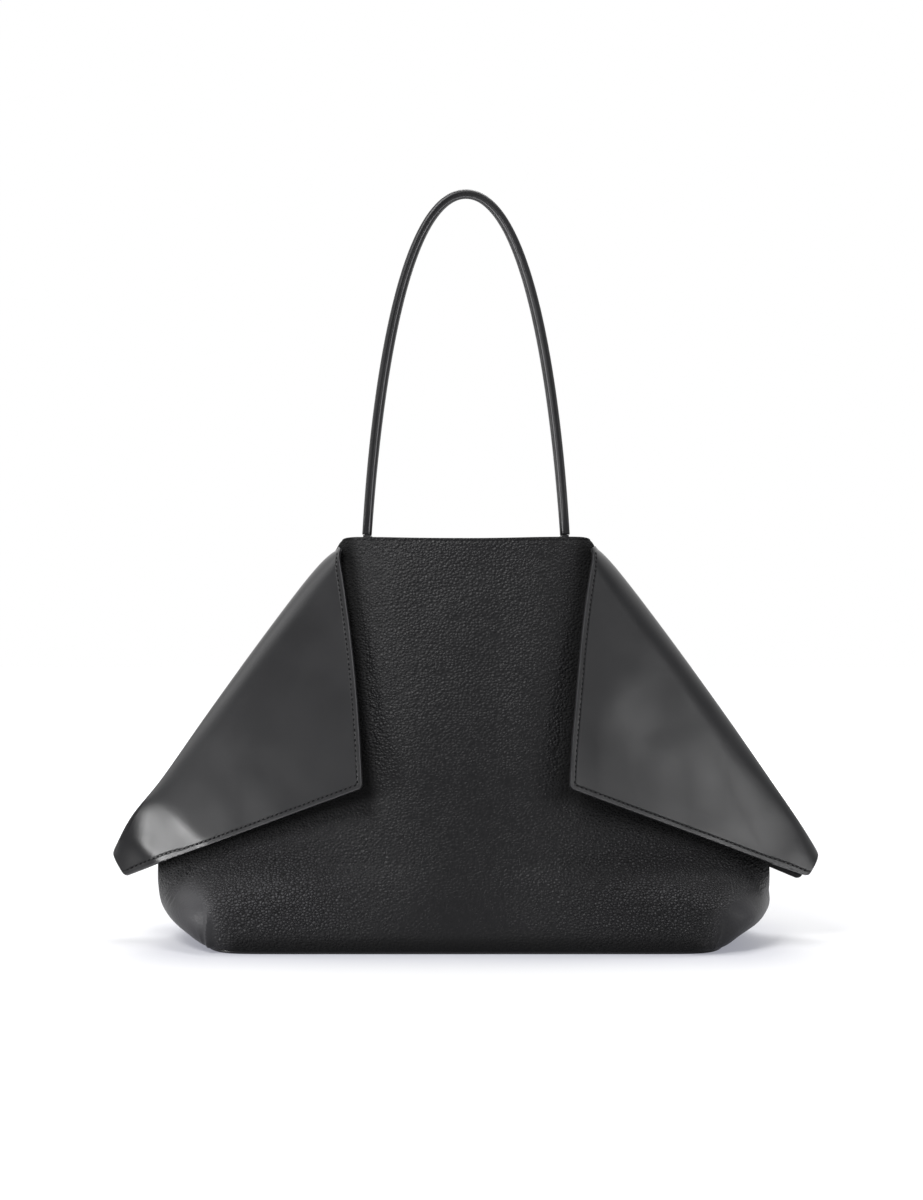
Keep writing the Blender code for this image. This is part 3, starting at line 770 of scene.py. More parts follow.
# %% [markdown]
# ## The base
#
# The base panel is the same leather, sewn inside the foot of the walls, so its rim shows as a fine line all
# round. A grid is laid on the boxed outline and given a rounded wall. The fibre board above it is made the
# same way, a little shorter where the foot of the wall is tucked in, and so is the lining of the base.

# %% Base
BASE_SEAM_INSET = 0.0026
BASE_LEATHER = 0.0018
BASE_ROUNDING = 0.0004
BOARD_TUCK_HEIGHT = 0.005


def boxed_sheet(name, columns, rows, reach, height, facing=1, tuck_height=None, patterned=False):
    """A level sheet in the boxed outline of the base, reaching so far to its ends and sides."""
    sheet = flat_grid(name, columns, rows)
    flat = points_of(sheet)
    rim = skin(crowded(flat), np.zeros(len(flat)))
    x = rim[:, 0] * reach[0] / BASE_HALF_LENGTH
    y = rim[:, 1] * reach[1] / BASE_HALF_DEPTH * (2 * flat[:, 1] - 1)
    if tuck_height is not None:
        x += tucked_outline(x, np.full(len(flat), tuck_height))
    move_points(sheet, np.stack([x, y, np.full(len(flat), height)], axis=-1))
    if patterned:
        add_pattern_uv(sheet, flat, 2 * reach[0], 2 * reach[1])
    modify(sheet, "WELD", merge_threshold=MERGE_DISTANCE)
    if sheet.data.polygons[0].normal.z * facing < 0:
        turn_over(sheet)
    return sheet


def make_base():
    reach = (BASE_HALF_LENGTH - BASE_SEAM_INSET, BASE_HALF_DEPTH - BASE_SEAM_INSET)
    sheet = boxed_sheet("base_panel_leather", 160, 48, reach, 0.0, facing=-1, tuck_height=0.0)
    give_wall(sheet, pebbled_leather, BASE_LEATHER, BASE_ROUNDING)
    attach(sheet, "body")
    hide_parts("base_panel")
    print(sheet.name, len(sheet.data.polygons), "faces")


def make_base_board():
    low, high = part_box("base_board")
    board = boxed_sheet("base_board_fibre", 100, 30, high, high.z, tuck_height=BOARD_TUCK_HEIGHT)
    board.data.materials.append(fibre_board)
    modify(board, "SOLIDIFY", thickness=high.z - low.z, offset=-1.0)
    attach(board, "body")
    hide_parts("base_board")


make_base()
make_base_board()

# %% [markdown]
# ## The wings' flat pattern
#
# A wing is one piece of leather folded over the shoulder, lined with a second one. Leather is cut flat, so
# the model starts flat too: a fine grid is cut with a straight knife along the inner edge, the lower edge
# and the mouth of the sleeve, and its corners are rounded by further small cuts. X runs down the fold from
# its top, and Y away from the hinge line. The strip below Y = 0 wraps over the shoulder to the ridge.

# %% Wing sizes, read from the frame
def node_points(name):
    return points_of(frame["nodes"][name])


lift = joints["right_front_flap_lift"]
hinge_top = np.array(lift["pos_m"])
along = -np.array(lift["axis"]) / np.linalg.norm(lift["axis"])
offsets = node_points("right_front_flap") - hinge_top
reaches = offsets - np.outer(offsets @ along, along)
farthest = reaches[np.argmax(np.linalg.norm(reaches, axis=1))]
away = farthest / np.linalg.norm(farthest)
outward = np.cross(away, along)

fold = node_points("right_wing_fold")
ridge_low = fold[np.argmax(fold[:, 0])] * (1, 0, 1)
middle_points = fold[(np.abs(fold[:, 1]) < 0.001) & (fold[:, 2] > SEAM_TOP - 0.005)]
ridge_top = middle_points[np.argmax(middle_points @ (0.81, 0.0, 0.59))] * (1, 0, 1)
ridge_length = np.linalg.norm(ridge_low - ridge_top)
ridge_run = (ridge_low - ridge_top) / ridge_length
ridge_out = np.array((-ridge_run[2], 0.0, ridge_run[0]))
flap_lean = np.degrees(np.arccos(-away[2]))
print("ridge:", np.round(ridge_length * 1000), "mm, flap leans", np.round(flap_lean), "degrees")

# %% Cutting the pattern
FOLD_STRIP = 0.026
HINGE_LENGTH = 0.303
CORNER = np.array((0.132, 0.138))
TIP = np.array((HINGE_LENGTH + 0.008, 0.0136))
CORNER_RADIUS = 0.0035
TIP_RADIUS = 0.005
TOP_RADIUS = 0.004
TOP_REACH = 0.0040


def unit(vector):
    return np.array(vector) / np.linalg.norm(vector)


inner_run = unit(CORNER)
lower_run = unit(TIP - CORNER)
mouth_run = unit(TIP - np.array((HINGE_LENGTH, -FOLD_STRIP)))
edges = {
    "top": ((-TOP_REACH, 0.0), np.array((-1.0, 0.0))),
    "inner": ((0.0, 0.0), np.array((-inner_run[1], inner_run[0]))),
    "lower": (CORNER, np.array((-lower_run[1], lower_run[0]))),
    "mouth": (TIP, np.array((mouth_run[1], -mouth_run[0]))),
}


def inset_crossing(first, second, inset):
    """Where two edges cross once both are moved inwards."""
    normals = np.stack([edges[first][1], edges[second][1]])
    levels = [np.array(edges[word][0]) @ edges[word][1] - inset for word in (first, second)]
    return np.linalg.solve(normals, levels)


def cut_line(piece, place, outside):
    """Cuts the flat piece along a line and throws away the side that outside points to."""
    edit(piece, bpy.ops.mesh.bisect, plane_co=(*place, 0.0), plane_no=(*outside, 0.0), clear_outer=True,
         threshold=0.00001)


def round_corner(piece, first_word, second_word, radius, cuts=5):
    """Small cuts along an arc between two straight cuts."""
    first = edges[first_word][1]
    second = edges[second_word][1]
    corner = inset_crossing(first_word, second_word, 0.0)
    middle = corner - (first + second) * radius / (1 + first @ second)
    for index in range(1, cuts + 1):
        outside = unit(mix(first, second, index / (cuts + 1)))
        cut_line(piece, middle + outside * radius, outside)


def cut_pattern(name, step):
    """Half a wing's leather, flat."""
    wide = TIP[0] + 0.002 + TOP_REACH
    tall = FOLD_STRIP + CORNER[1] + 0.001
    pattern = flat_grid(name, round(wide / step), round(tall / step))
    move_points(pattern, points_of(pattern) * (wide, tall, 1.0) - (TOP_REACH, FOLD_STRIP, 0.0))
    for word in ("inner", "lower", "mouth"):
        cut_line(pattern, *edges[word])
    for first, second, radius in (("inner", "lower", CORNER_RADIUS), ("mouth", "lower", TIP_RADIUS),
                                  ("top", "inner", TOP_RADIUS)):
        round_corner(pattern, first, second, radius)
    print(name, "cut:", len(pattern.data.polygons), "faces")
    return pattern


def edge_distance(flat, words=("top", "inner", "lower")):
    """How far places of the flat pattern are from the nearest sewn edge."""
    gaps = [(np.array(edges[word][0]) - flat[:, :2]) @ edges[word][1] for word in words]
    return np.min(gaps, axis=0)


# %% [markdown]
# ## Draping the wings
#
# The flat pattern is laid over the shoulder. Up to the ridge it follows the seam of the body, bowed out a
# little as the photograph shows. From there it bends round on one smooth curve and runs down as the flap,
# which swells slightly between its edges. Low down the sleeve opens at two soft kinks, which differ from
# left to right, and at its top the fold tapers in towards the corner of the mouth.

# %% The draping formula
RIDGE_BOW = 0.0042
INNER_EDGE_BOW = 0.0032
WING_ROUNDING = 0.0003
RIDGE_OVERLAP = WING_ROUNDING
FLAP_SWELL = 0.006
TOP_BEND = 0.010
LOW_BEND = {"left": 0.046, "right": 0.034}
ROUNDING = 0.60
SPLAY = {"left": 0.0036, "right": 0.0004}
KINKS = {"left": ((0.248, -0.20), (0.2865, 0.45)), "right": ((0.252, 0.03), (0.292, -0.08))}
TOP_TAPER = {"left": 0.0040, "right": 0.0022}
TAPER_LENGTH = 0.012
KINK_SOFTNESS = 0.0025
UNEVEN = {"left": 0.0006, "right": 0.0019}
front = np.array((0.0, -1.0, 0.0))


def bend(start, leave, arrive, end, share):
    """A smooth curve that leaves start one way and arrives at end another way."""
    share = share[:, None]
    first = start + leave
    last = end - arrive
    return ((1 - share) ** 3 * start + 3 * (1 - share) ** 2 * share * first
            + 3 * (1 - share) * share ** 2 * last + share ** 3 * end)


def soft_less(first, second, softness):
    """The smaller of two values, with the corner between them rounded."""
    return -softness * np.logaddexp(-first / softness, -second / softness)


def bow_inner_edge(flat):
    """The inner edge isn't cut quite straight: it swells towards the middle of the bag."""
    length = np.linalg.norm(CORNER)
    climb = np.clip(flat[:, :2] @ inner_run / length, 0.0, 1.0)
    inside = np.clip(-(flat[:, :2] @ edges["inner"][1]), 0.0, None)
    push = INNER_EDGE_BOW * 4 * climb * (1 - climb) * np.exp(-inside / 0.06)
    return flat[:, :2] + np.outer(push, edges["inner"][1])


def drape(flat, hand):
    """Places on the front half-wing for places of the flat pattern, drawn on the right hand side."""
    run, reach = bow_inner_edge(flat).T
    share = run / HINGE_LENGTH
    inside = np.clip(share, 0.0, 1.0)
    bow = RIDGE_BOW * np.sin(np.pi * inside) ** 0.6 + SPLAY[hand] * np.exp(-((share - 0.90) / 0.09) ** 2)
    bow = bow - TOP_TAPER[hand] * np.exp(-np.clip(run, 0.0, None) / TAPER_LENGTH)
    ridge = ridge_top + np.outer(share * ridge_length, ridge_run) + bow[:, None] * ridge_out
    ridge = ridge - RIDGE_OVERLAP * front
    lower = CORNER[1] + (TIP[1] - CORNER[1]) * (run - CORNER[0]) / (TIP[0] - CORNER[0])
    widest = np.clip(soft_less(CORNER[1] * run / CORNER[0] + 0.002, lower, 0.006), 0.001, None)
    landing = soft_less(mix(TOP_BEND, LOW_BEND[hand], ease((share - 0.45) / 0.50)), widest, 0.004)
    landing = np.clip(landing, 0.0005, None)
    settle = hinge_top + np.outer(run, along) + landing[:, None] * away
    forward = np.clip((settle - ridge) @ outward / (front @ outward), 0.002, None)
    inward = (settle - ridge - np.outer(forward, front)) @ away
    turned = bend(ridge, np.outer(forward, front) * ROUNDING, np.outer(inward, away) * ROUNDING, settle,
                  np.clip((reach + FOLD_STRIP) / (landing + FOLD_STRIP), 0.0, 1.0))
    across = np.clip((reach - landing) / np.maximum(widest - landing, 0.004), 0.0, 1.0)
    raised = FLAP_SWELL * np.maximum(widest - landing, 0.0) * np.sin(np.pi * across) ** 2
    flap = hinge_top + np.outer(run, along) + np.outer(reach, away) + raised[:, None] * outward
    opened = sum(slope * KINK_SOFTNESS * np.logaddexp(0.0, (run - place) / KINK_SOFTNESS)
                 for place, slope in KINKS[hand])
    opened = opened * ease((reach + FOLD_STRIP) / (FOLD_STRIP + 0.02))
    return np.where((reach > landing)[:, None], flap, turned) + opened[:, None] * front


def drape_normal(flat, hand):
    step = 0.0006
    run = drape(flat + (step, 0, 0), hand) - drape(flat - (step, 0, 0), hand)
    reach = drape(flat + (0, step, 0), hand) - drape(flat - (0, step, 0), hand)
    normal = np.cross(reach, run)
    return normal / np.linalg.norm(normal, axis=1, keepdims=True)


print("corner lands at", np.round(drape(np.array([[*CORNER, 0.0]]), "right")[0], 4))

# %% [markdown]
# ## The wings
#
# Four half-wings share the formula, mirrored left to right and front to back, with their own slight
# unevenness. Each half is the outer leather and its lining. They bend from the fold, which is sewn to the
# shoulder, to the flap, which lifts.

# %% Wings
WING_LEATHER = 0.0012
WING_LINING = 0.0010
LAYER_GAP = 0.0001
WING_DEPTH = WING_LEATHER + LAYER_GAP + WING_LINING
FINE_STEP = 0.0014
PLAIN_STEP = 0.0024
BACK_FLAP_DROOP = (-0.002, 0.0, -0.006)
QUARTERS = [("right", "front", 5), ("left", "front", 6), ("right", "back", 7), ("left", "back", 8)]


def mirror_of(hand, word):
    return np.array((1.0 if hand == "right" else -1.0, 1.0 if word == "front" else -1.0, 1.0))


def blend_flap(piece):
    """Bakes the piece's placement into its points."""
    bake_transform(piece)


def lay_wing(flat, depth, hand, word, seed):
    """Places for a layer that lies depth inside the wing's outer face."""
    places = drape(flat, hand)
    uneven = UNEVEN[hand] * soft_noise(places, 0.070, seed) + 0.0002 * soft_noise(places, 0.025, seed + 20)
    clear = ease((flat[:, 1] + FOLD_STRIP) / 0.03)
    places = places + drape_normal(flat, hand) * (uneven * clear - depth)[:, None]
    if (hand, word) == ("right", "back"):
        low = ease((flat[:, 0] - 0.20) / 0.08) * ease((flat[:, 1] + 0.004) / 0.02)
        places = places + np.outer(low, BACK_FLAP_DROOP)
    return places * mirror_of(hand, word)


def dress_half_wing(pattern, name, depth, thickness, finish, hand, word, seed):
    half = copy_of(pattern, name)
    flat = points_of(half)
    add_pattern_uv(half, flat)
    add_mask(half, "edge_distance", edge_distance(flat))
    move_points(half, lay_wing(flat, depth, hand, word, seed))
    if np.prod(mirror_of(hand, word)) > 0:
        turn_over(half)
    give_wall(half, finish, thickness, WING_ROUNDING)
    blend_flap(half)
    return half


fine_pattern = cut_pattern("fine_pattern", FINE_STEP)
plain_pattern = cut_pattern("plain_pattern", PLAIN_STEP)
for hand, word, seed in QUARTERS:
    outer = dress_half_wing(fine_pattern, f"{hand}_{word}_wing_leather", 0.0, WING_LEATHER,
                            wing_leather, hand, word, seed)
    inner = dress_half_wing(plain_pattern, f"{hand}_{word}_wing_lining", WING_LEATHER + LAYER_GAP,
                            WING_LINING, wing_lining, hand, word, seed)
    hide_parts(f"{hand}_{word}_flap", f"{hand}_wing_fold")
    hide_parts(f"{hand}_{word}_flap_lining", f"{hand}_wing_fold_lining")
    print(outer.name, len(outer.data.polygons), "faces")
bpy.data.objects.remove(fine_pattern)
bpy.data.objects.remove(plain_pattern)

# %% [markdown]
# ## Stitches
#
# A sewing machine leaves short slanted stitches, each a little sunk at its ends. One stitch is modelled from
# a sphere and copied along the line 4 mm inside the edge, on both faces. The line is laid out on the flat
# pattern, then every stitch is carried to its place on the draped leather.

# %% One stitch
STITCH_PITCH = 0.0041
STITCH_LENGTH = 0.0028
THREAD_WIDTH = 0.0012
STITCH_SLANT = 0.16


def make_stitch_shape():
    """A stitch that lies along X, as its points and faces."""
    bpy.ops.mesh.primitive_uv_sphere_add(segments=8, ring_count=6, radius=0.5,
                                         rotation=(0.0, math.pi / 2, 0.0))
    stitch = named("stitch")
    bpy.ops.object.transform_apply(location=True, rotation=True, scale=True)
    places = points_of(stitch) * (STITCH_LENGTH, THREAD_WIDTH, THREAD_WIDTH * 0.8)
    places[:, 2] -= 0.0006 * (places[:, 0] / STITCH_LENGTH * 2) ** 4
    faces = [tuple(face.vertices) for face in stitch.data.polygons]
    bpy.data.objects.remove(stitch)
    return places, faces


stitch_points, stitch_faces = make_stitch_shape()


def sew(name, centres, runs, normals):
    """Copies the stitch to each centre, along its run and on its normal, as one piece."""
    normals = normals / np.linalg.norm(normals, axis=1, keepdims=True)
    sides = np.cross(normals, runs)
    sides /= np.linalg.norm(sides, axis=1, keepdims=True)
    runs = np.cross(sides, normals)
    firsts = runs * math.cos(STITCH_SLANT) + sides * math.sin(STITCH_SLANT)
    seconds = sides * math.cos(STITCH_SLANT) - runs * math.sin(STITCH_SLANT)
    places = []
    faces = []
    for centre, first, second, normal in zip(centres, firsts, seconds, normals):
        shift = len(places) * len(stitch_points)
        places.append(centre + stitch_points @ np.stack([first, second, normal]))
        faces += [tuple(index + shift for index in face) for face in stitch_faces]
    mesh = bpy.data.meshes.new(name)
    mesh.from_pydata(np.concatenate(places).tolist(), [], faces)
    mesh.materials.append(thread)
    piece = bpy.data.objects.new(name, mesh)
    bpy.context.scene.collection.objects.link(piece)
    pick(piece)
    bpy.ops.object.shade_smooth()
    return piece


# %% The seam line on the pattern
def walk(corners, pitch):
    """Evenly spaced places along a line with corners, and the direction at each."""
    places = []
    runs = []
    for start, end in zip(corners, corners[1:]):
        length = np.linalg.norm(end - start)
        count = round(length / pitch)
        for index in range(count):
            places.append(mix(start, end, (index + 0.5) / count))
            runs.append((end - start) / length)
    return np.array(places), np.array(runs)


seam_corners = [
    inset_crossing("top", "inner", SEAM_INSET),
    inset_crossing("inner", "lower", SEAM_INSET),
    mix(TIP, CORNER, 0.008) - edges["lower"][1] * SEAM_INSET,
]
seam_places, seam_runs = walk(seam_corners, STITCH_PITCH)


def flat_places(places):
    return np.concatenate([places, np.zeros((len(places), 1))], axis=1)


for hand, word, seed in QUARTERS:
    mirror = mirror_of(hand, word)
    for face_name, depth, facing in (("outer", -LAYER_GAP, 1.0), ("inner", WING_DEPTH + LAYER_GAP, -1.0)):
        flat = flat_places(seam_places)
        ahead = flat_places(seam_places + seam_runs * 0.001)
        centres = lay_wing(flat, depth, hand, word, seed)
        runs = lay_wing(ahead, depth, hand, word, seed) - centres
        normals = drape_normal(flat, hand) * mirror * facing
        seam = sew(f"{hand}_{word}_wing_{face_name}_stitches", centres, runs, normals)
        blend_flap(seam)
print("stitches on each seam:", len(seam_places))

# %% [markdown]
# ## The mouth
#
# Inside the mouth a strip of smooth leather faces each panel. It meets the panel at the painted top edge and
# stands off lower down, where the flat ends of the handles are sewn between the two.

# %% Facings
FACING_DROP = 0.032
FACING_LEATHER = 0.0011
FACING_TOP_INSET = 0.0020
FACING_INSET = 0.0044
FACING_ROUNDING = 0.0002
INSIDE_SEAM = 0.9995
leg_x = abs(sum(corner.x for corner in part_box("front_right_handle_tab")) / 2)


def inner_sheet(name, columns, rows, low, high):
    """A sheet that is to hang inside a panel, with its sideways places and heights."""
    sheet = flat_grid(name, columns, rows)
    flat = points_of(sheet)
    return sheet, crowded(flat) * INSIDE_SEAM, mix(low, high, flat[:, 1])


def make_facing(word, face):
    facing, sideways, height = inner_sheet(word + "_facing_leather", 140, 22,
                                           BODY_HEIGHT - FACING_DROP, BODY_HEIGHT)
    places = skin(sideways, height)
    beside_tab = np.exp(-((np.abs(places[:, 0]) - leg_x) / 0.008) ** 4)
    lower = ease((BODY_HEIGHT - height) / 0.010)
    inset = mix(FACING_TOP_INSET, FACING_INSET, np.maximum(beside_tab, lower))
    places -= skin_normal(sideways, height) * inset[:, None]
    places[:, 2] += mouth_lift(sideways, height) - 0.0003
    lay_sheet(facing, places, face, 0.0002)
    give_wall(facing, strap_leather, FACING_LEATHER, FACING_ROUNDING)
    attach(facing, "body")
    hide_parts(word + "_facing")


make_facing("front", -1)
make_facing("back", 1)

# %% [markdown]
# ## The lining
#
# The lining is a bag of plain woven cloth, a little larger than it needs to be, so it hangs in soft upright
# folds. Each half is a cloth wall, and a third piece covers the base.

# %% Lining
LINING_INSET = 0.0021
LINING_CLOTH = 0.0007
LINING_SLACK = 0.0012
FOLD_DEPTH = 0.0045
FOLD_SIZE = 0.03
LINING_TOP = BODY_HEIGHT - FACING_DROP + 0.004
LINING_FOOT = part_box("base_lining")[1].z + 0.0003
LINING_PATTERN = (0.50, 0.30)


def give_cloth(sheet):
    sheet.data.materials.append(woven_cloth)
    modify(sheet, "SOLIDIFY", thickness=LINING_CLOTH, offset=-1.0)
    smooth_by_angle(sheet)


def make_lining_wall(word, face, seed):
    wall, sideways, height = inner_sheet(word + "_lining_cloth", 120, 60, LINING_FOOT, LINING_TOP)
    flat = points_of(wall)
    places = skin(sideways, height)
    fullness = np.sin(np.pi * flat[:, 1]) * (1 - sideways ** 6)
    upright = np.stack([places[:, 0], places[:, 2] * 0.25, places[:, 2] * 0], axis=1)
    folds = 0.5 + 0.5 * soft_noise(upright, FOLD_SIZE, seed)
    inset = LINING_INSET + LINING_SLACK + FOLD_DEPTH * folds * fullness
    near_seam = 1 - ease((1 - np.abs(sideways)) / 0.02)
    inset = mix(inset, LINING_INSET, near_seam)
    places -= skin_normal(sideways, height) * inset[:, None]
    places[:, 0] += tucked_outline(places[:, 0], height)
    add_pattern_uv(wall, flat, *LINING_PATTERN)
    lay_sheet(wall, places, face, 0.0003)
    give_cloth(wall)
    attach(wall, "body")
    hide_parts(word + "_lining")


def make_lining_base():
    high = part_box("base_lining")[1]
    sheet = boxed_sheet("base_lining_cloth", 120, 40, high, high.z, patterned=True)
    places = points_of(sheet)
    places[:, 2] += 0.0003 * soft_noise(places * (1, 1, 0), 0.04, 31)
    move_points(sheet, places)
    give_cloth(sheet)
    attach(sheet, "body")
    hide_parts("base_lining")


make_lining_wall("front", -1, 41)
make_lining_wall("back", 1, 47)
make_lining_base()

# %% [markdown]
# ## Handles
#
# A rolled handle is leather sewn round a cotton cord. Its arch is one smooth curve with straight legs and a
# round crown. A curve with a round bevel makes the tube, and its two ends are pressed flat where they go
# into the mouth. The seam, with its painted edge and a row of stitches, runs along the inner side of the arch
# and turns further inwards at the crown.

# %% Handle sizes
HANDLE_RISE = 0.2760
HANDLE_THICKNESS = 0.0058
HANDLE_GAP = 0.0003
LEG_STRAIGHT = 0.320
CROWN_WIDTH = 0.705
LEG_LEAN = 0.057
FLAT_THICKNESS = 0.0018
FLAT_LENGTH = 0.022
hinge_y, hinge_z = joints["front_handle_swing"]["pos_m"][1:]
handle_lean = math.asin((-hinge_y - (HANDLE_THICKNESS + HANDLE_GAP) / 2) / HANDLE_RISE)


def arch(share, lean, crown):
    """Places and directions along the arch, in its own plane; share runs from 0 to 1, foot to foot."""
    half = np.where(share < 0.5, share * 2, 2 - share * 2)
    knots = np.array([(leg_x, 0.0), (leg_x * (1 - lean), LEG_STRAIGHT * HANDLE_RISE),
                      (leg_x * crown, HANDLE_RISE), (0.0, HANDLE_RISE)])
    weights = np.stack([(1 - half) ** 3, 3 * (1 - half) ** 2 * half, 3 * (1 - half) * half ** 2, half ** 3])
    places = weights.T @ knots
    places[:, 0] *= np.where(share < 0.5, -1, 1)
    runs = np.gradient(places, axis=0)
    return places, runs / np.linalg.norm(runs, axis=1, keepdims=True)


def squeeze(height):
    """How flat a handle is at a height above its hinge."""
    flat = FLAT_THICKNESS / HANDLE_THICKNESS
    pressed = flat * np.sqrt(np.clip(1 - (height / (FLAT_THICKNESS / 2)) ** 2, 0.1, 1))
    return np.where(height < 0, pressed, mix(flat, 1.0, ease(height / FLAT_LENGTH)))


def stand_handle(places, face):
    """Turns places from the arch's own plane to where the handle leans against its twin."""
    turn = Matrix.Translation((0, -face * hinge_y, hinge_z)) @ Matrix.Rotation(face * handle_lean, 4, "X")
    turn = np.array(turn)
    return places @ turn[:3, :3].T + turn[:3, 3]


def tube_along(name, places, radius, sides):
    """A filled tube along places in the arch's plane."""
    bpy.ops.curve.primitive_bezier_curve_add()
    made = named(name)
    made.data.splines.clear()
    spline = made.data.splines.new("POLY")
    spline.points.add(len(places) - 1)
    flat = np.concatenate([places, np.ones((len(places), 1))], axis=1)
    spline.points.foreach_set("co", flat.ravel())
    made.data.bevel_depth = radius
    made.data.bevel_resolution = sides // 2 - 2
    made.data.use_fill_caps = True
    bpy.ops.object.convert(target="MESH")
    modify(made, "WELD", merge_threshold=MERGE_DISTANCE)
    return made


# %% Rolled handles
ARCH_POINTS = 181
SEAM_ANGLE = math.radians(24)
CROWN_SEAM_ANGLE = math.radians(6)
STITCH_ANGLE = math.radians(10)
STITCH_MARGIN = 0.012
PIPING_RADIUS = 0.0006
PIPING_SINK = 0.0001
STITCH_SINK = 0.0004
CROWN_START = 0.72
CROWN_TURN = 0.26
BACK_LEG_LEAN = 0.077
BACK_CROWN_WIDTH = 0.674


def make_handle(word, face, lean, crown):
    places, runs = arch(np.linspace(0, 1, ARCH_POINTS), lean, crown)
    inward = np.stack([runs[:, 1], np.zeros(ARCH_POINTS), -runs[:, 0]], axis=1)
    centre = np.stack([places[:, 0], np.zeros(ARCH_POINTS), places[:, 1]], axis=1)
    foot = np.array((0.0, 0.0, -FLAT_THICKNESS / 2))
    line = np.concatenate([[centre[0] + foot], centre, [centre[-1] + foot]])
    tube = tube_along(word + "_handle_leather", line, HANDLE_THICKNESS / 2, 24)
    shape = points_of(tube)
    shape[:, 1] *= squeeze(shape[:, 2])
    move_points(tube, stand_handle(shape, face))
    tube.data.materials.append(strap_leather)
    radius = HANDLE_THICKNESS / 2
    near_crown = ease((1 - np.abs(np.linspace(-1, 1, ARCH_POINTS)) - CROWN_START) / CROWN_TURN)
    angle = mix(SEAM_ANGLE, CROWN_SEAM_ANGLE, near_crown)[:, None]
    aside = inward * np.cos(angle) + np.sin(angle) * (0, face, 0)
    seam_line = centre + aside * (radius - PIPING_SINK)
    seam_line[:, 1] *= squeeze(seam_line[:, 2])
    lip = tube_along(word + "_handle_seam", seam_line, PIPING_RADIUS, 8)
    move_points(lip, stand_handle(points_of(lip), face))
    lip.data.materials.append(handle_edge_paint)
    beside = inward * math.cos(STITCH_ANGLE) + np.array((0, face * math.sin(STITCH_ANGLE), 0))
    steps = np.concatenate([[0], np.cumsum(np.linalg.norm(np.diff(centre, axis=0), axis=1))])
    stops = np.arange(STITCH_MARGIN, steps[-1] - STITCH_MARGIN, STITCH_PITCH)
    spots, normals, directions = [
        np.stack([np.interp(stops, steps, part[:, axis]) for axis in range(3)], axis=1)
        for part in (centre + beside * (radius - STITCH_SINK), beside, np.gradient(centre, axis=0))]
    spots[:, 1] *= squeeze(spots[:, 2])
    turned = stand_handle(np.zeros((1, 3)), face)
    seam = sew(word + "_handle_stitches", stand_handle(spots, face), stand_handle(directions, face) - turned,
               stand_handle(normals, face) - turned)
    for piece in (tube, lip, seam):
        pick(piece)
        bpy.ops.object.shade_smooth()
        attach(piece, word + "_handle")
    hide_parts(word + "_handle")
    core = frame["nodes"][word + "_handle_cord"]
    core.data.materials.clear()
    core.data.materials.append(cotton_cord)
    print(tube.name, len(tube.data.polygons), "faces,", len(spots), "stitches")


make_handle("front", -1, LEG_LEAN, CROWN_WIDTH)
make_handle("back", 1, BACK_LEG_LEAN, BACK_CROWN_WIDTH)

# %% [markdown]
# ## Handle tabs
#
# Each handle ends in a flat strap between panel and facing, which stands a little above the mouth. It is a
# small sheet laid on the inside of the panel, with rounded edges. Its top stands straight under the foot of
# the handle, so that the handle can swing right over.

# %% Tabs
TAB_WIDTH = 0.006
TAB_INSET = 0.0023
TAB_THICKNESS = 0.0013
TAB_RISE = 0.0028
TAB_DEPTH = 0.024
TAB_ROUNDING = 0.0004
STRAIGHT_FROM = 0.0004
STRAIGHT_RUN = 0.0016


def make_tab(word, face, hand, side):
    tab = flat_grid(f"{word}_{hand}_tab_leather", 8, 27)
    flat = points_of(tab)
    height = mix(BODY_HEIGHT - TAB_DEPTH, BODY_HEIGHT + TAB_RISE, flat[:, 1])
    sideways = (leg_x + (flat[:, 0] - 0.5) * TAB_WIDTH) / half_width(height - mouth_dip(height))
    places = skin(sideways, height) - skin_normal(sideways, height) * TAB_INSET
    above = ease((height - BODY_HEIGHT + STRAIGHT_FROM) / STRAIGHT_RUN)
    places[:, 1] = mix(places[:, 1], hinge_y - TAB_THICKNESS / 2, above)
    places *= (side, -face, 1)
    move_points(tab, places)
    if side * face > 0:
        turn_over(tab)
    give_wall(tab, strap_leather, TAB_THICKNESS, TAB_ROUNDING)
    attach(tab, "body")
    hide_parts(f"{word}_{hand}_handle_tab")


for word, face in (("front", -1), ("back", 1)):
    for hand, side in (("left", -1), ("right", 1)):
        make_tab(word, face, hand, side)

# %% [markdown]
# ## The magnetic snap
#
# The two halves sit in the facings. Their shape in the frame is right, so they keep it and only take a dark
# nickel finish.

# %% Snap
for name in ("snap_socket", "snap_stud"):
    half = frame["nodes"][name]
    half.data.materials.clear()
    half.data.materials.append(dark_nickel)

# %% [markdown]
# ## The studio
#
# The bag stands on a white sweep. A large lamp in front and above gives most of the light, and one overhead
# and one behind round off the shapes. The small ones low at the sides put the soft sheens on the wings, each
# where the leather mirrors it. The camera sees the floor and the background as plain white, while the bag is
# lit by grey surroundings, so its dark leather keeps its depth. The floor still takes the bag's soft shadow,
# and a painted shadow darkens and tints its paper close to the foot.

# %% Floor and surroundings
FLOOR_SHINE = 0.50
FOOTPRINT = (0.200, 0.050, 0)
PAPER = (0.44, 0.44, 0.45, 1)
# Colour of the painted shadow on the paper near the foot.
PAINTED_FOOT_SHADOW = (0.55, 0.56, 0.64)
PAINTED_SHADOW_REACH = 0.10
SURROUNDINGS = (0.93, 0.95, 1.0, 1)
SURROUNDING_STRENGTH = 0.24


def sees_white(tree, depth, low, high):
    """1 for a ray that sees plain white: the camera's own, and a mirrored one that looks far behind."""
    seen = add_node(tree, "LightPath").outputs
    directly = math_node(tree, "MAXIMUM", seen["Is Camera Ray"], seen["Is Transmission Ray"])
    behind = math_node(tree, "MULTIPLY", seen["Is Glossy Ray"], spread(tree, depth, low, high))
    return math_node(tree, "MAXIMUM", directly, behind)


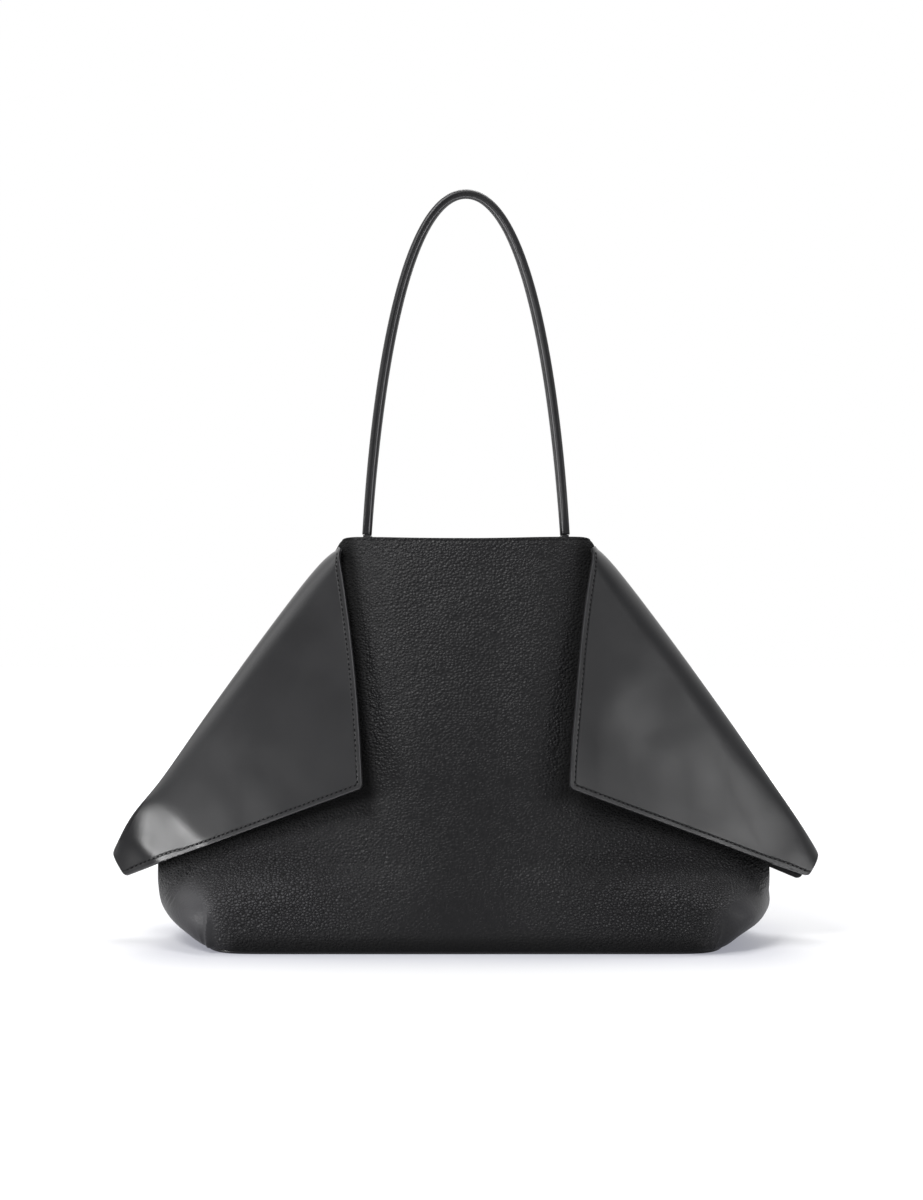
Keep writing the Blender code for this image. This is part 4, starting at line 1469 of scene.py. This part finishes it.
def end_tree(tree, kind, shader):
    tree.links.new(shader.outputs[0], tree.nodes.new("ShaderNodeOutput" + kind).inputs["Surface"])


def make_floor():
    bpy.ops.mesh.primitive_plane_add(size=12.0, location=(0, 0, -0.0002))
    floor = named("studio_floor")
    material = bpy.data.materials.new("studio_white")
    material.use_nodes = True
    tree = material.node_tree
    tree.nodes.clear()
    paper = add_node(tree, "BsdfDiffuse", {"Color": PAPER})
    place = object_place(tree)
    bright = spread(tree, vector_node(tree, "LENGTH", place)["Value"], 0.35, 1.4, FLOOR_SHINE, 1.0)
    past = vector_node(tree, "SUBTRACT", vector_node(tree, "ABSOLUTE", place)[0], FOOTPRINT)[0]
    beside = vector_node(tree, "LENGTH", vector_node(tree, "MAXIMUM", past)[0])["Value"]
    # Painted shadow: the paper's glow is darkened and tinted blue close to the foot.
    painted_shadow = mix_colors(tree, spread(tree, beside, 0.0, PAINTED_SHADOW_REACH), PAINTED_FOOT_SHADOW, (1, 1, 1))
    depth = add_node(tree, "SeparateXYZ", {0: place}).outputs["Y"]
    strength = math_node(tree, "MULTIPLY", sees_white(tree, depth, -0.3, 0.1), bright)
    shine = add_node(tree, "Emission", {"Color": painted_shadow, "Strength": strength})
    end_tree(tree, "Material", add_node(tree, "AddShader", {0: paper.outputs[0], 1: shine.outputs[0]}))
    floor.data.materials.append(material)


def make_surroundings():
    world = bpy.data.worlds.new("studio")
    bpy.context.scene.world = world
    world.use_nodes = True
    tree = world.node_tree
    tree.nodes.clear()
    direction = add_node(tree, "TexCoord").outputs["Generated"]
    depth = add_node(tree, "SeparateXYZ", {0: direction}).outputs["Y"]
    directly = sees_white(tree, depth, -0.15, 0.35)
    around = add_node(tree, "Background", {"Color": SURROUNDINGS, "Strength": SURROUNDING_STRENGTH})
    white = add_node(tree, "Background", {"Color": (1, 1, 1, 1), "Strength": 1.0})
    end_tree(tree, "World", add_node(tree, "MixShader", {0: directly, 1: around.outputs[0],
                                                         2: white.outputs[0]}))


make_floor()
make_surroundings()

# %% Lamps
LAMPS = [
    ("left_softbox", (-1.9, 0.1, 1.15), (0.9, 1.1), 5.0),
    ("low_left_softbox", (-2.0, -0.95, 0.17), (0.36, 0.36), 13.0),
    ("right_softbox", (1.95, -1.10, 0.60), (0.4, 0.4), 5.0),
    ("upper_right_softbox", (1.45, -1.20, 1.35), (0.35, 0.35), 1.2),
    ("front_softbox", (-0.8, -1.25, 1.9), (0.8, 0.8), 32.0),
    ("overhead_softbox", (0.2, 0.4, 2.1), (1.4, 1.0), 28.0),
    ("back_softbox", (0.0, 1.9, 1.1), (0.9, 0.9), 15.0),
]
LAMP_TARGET = Vector((0.0, 0.0, 0.18))
for name, place, size, power in LAMPS:
    light = bpy.data.lights.new(name, "AREA")
    light.shape = "RECTANGLE"
    light.size, light.size_y = size
    light.energy = power
    lamp = bpy.data.objects.new(name, light)
    bpy.context.scene.collection.objects.link(lamp)
    lamp.location = place
    lamp.rotation_euler = (LAMP_TARGET - Vector(place)).to_track_quat("-Z", "Y").to_euler()
print("lamps:", len(LAMPS))
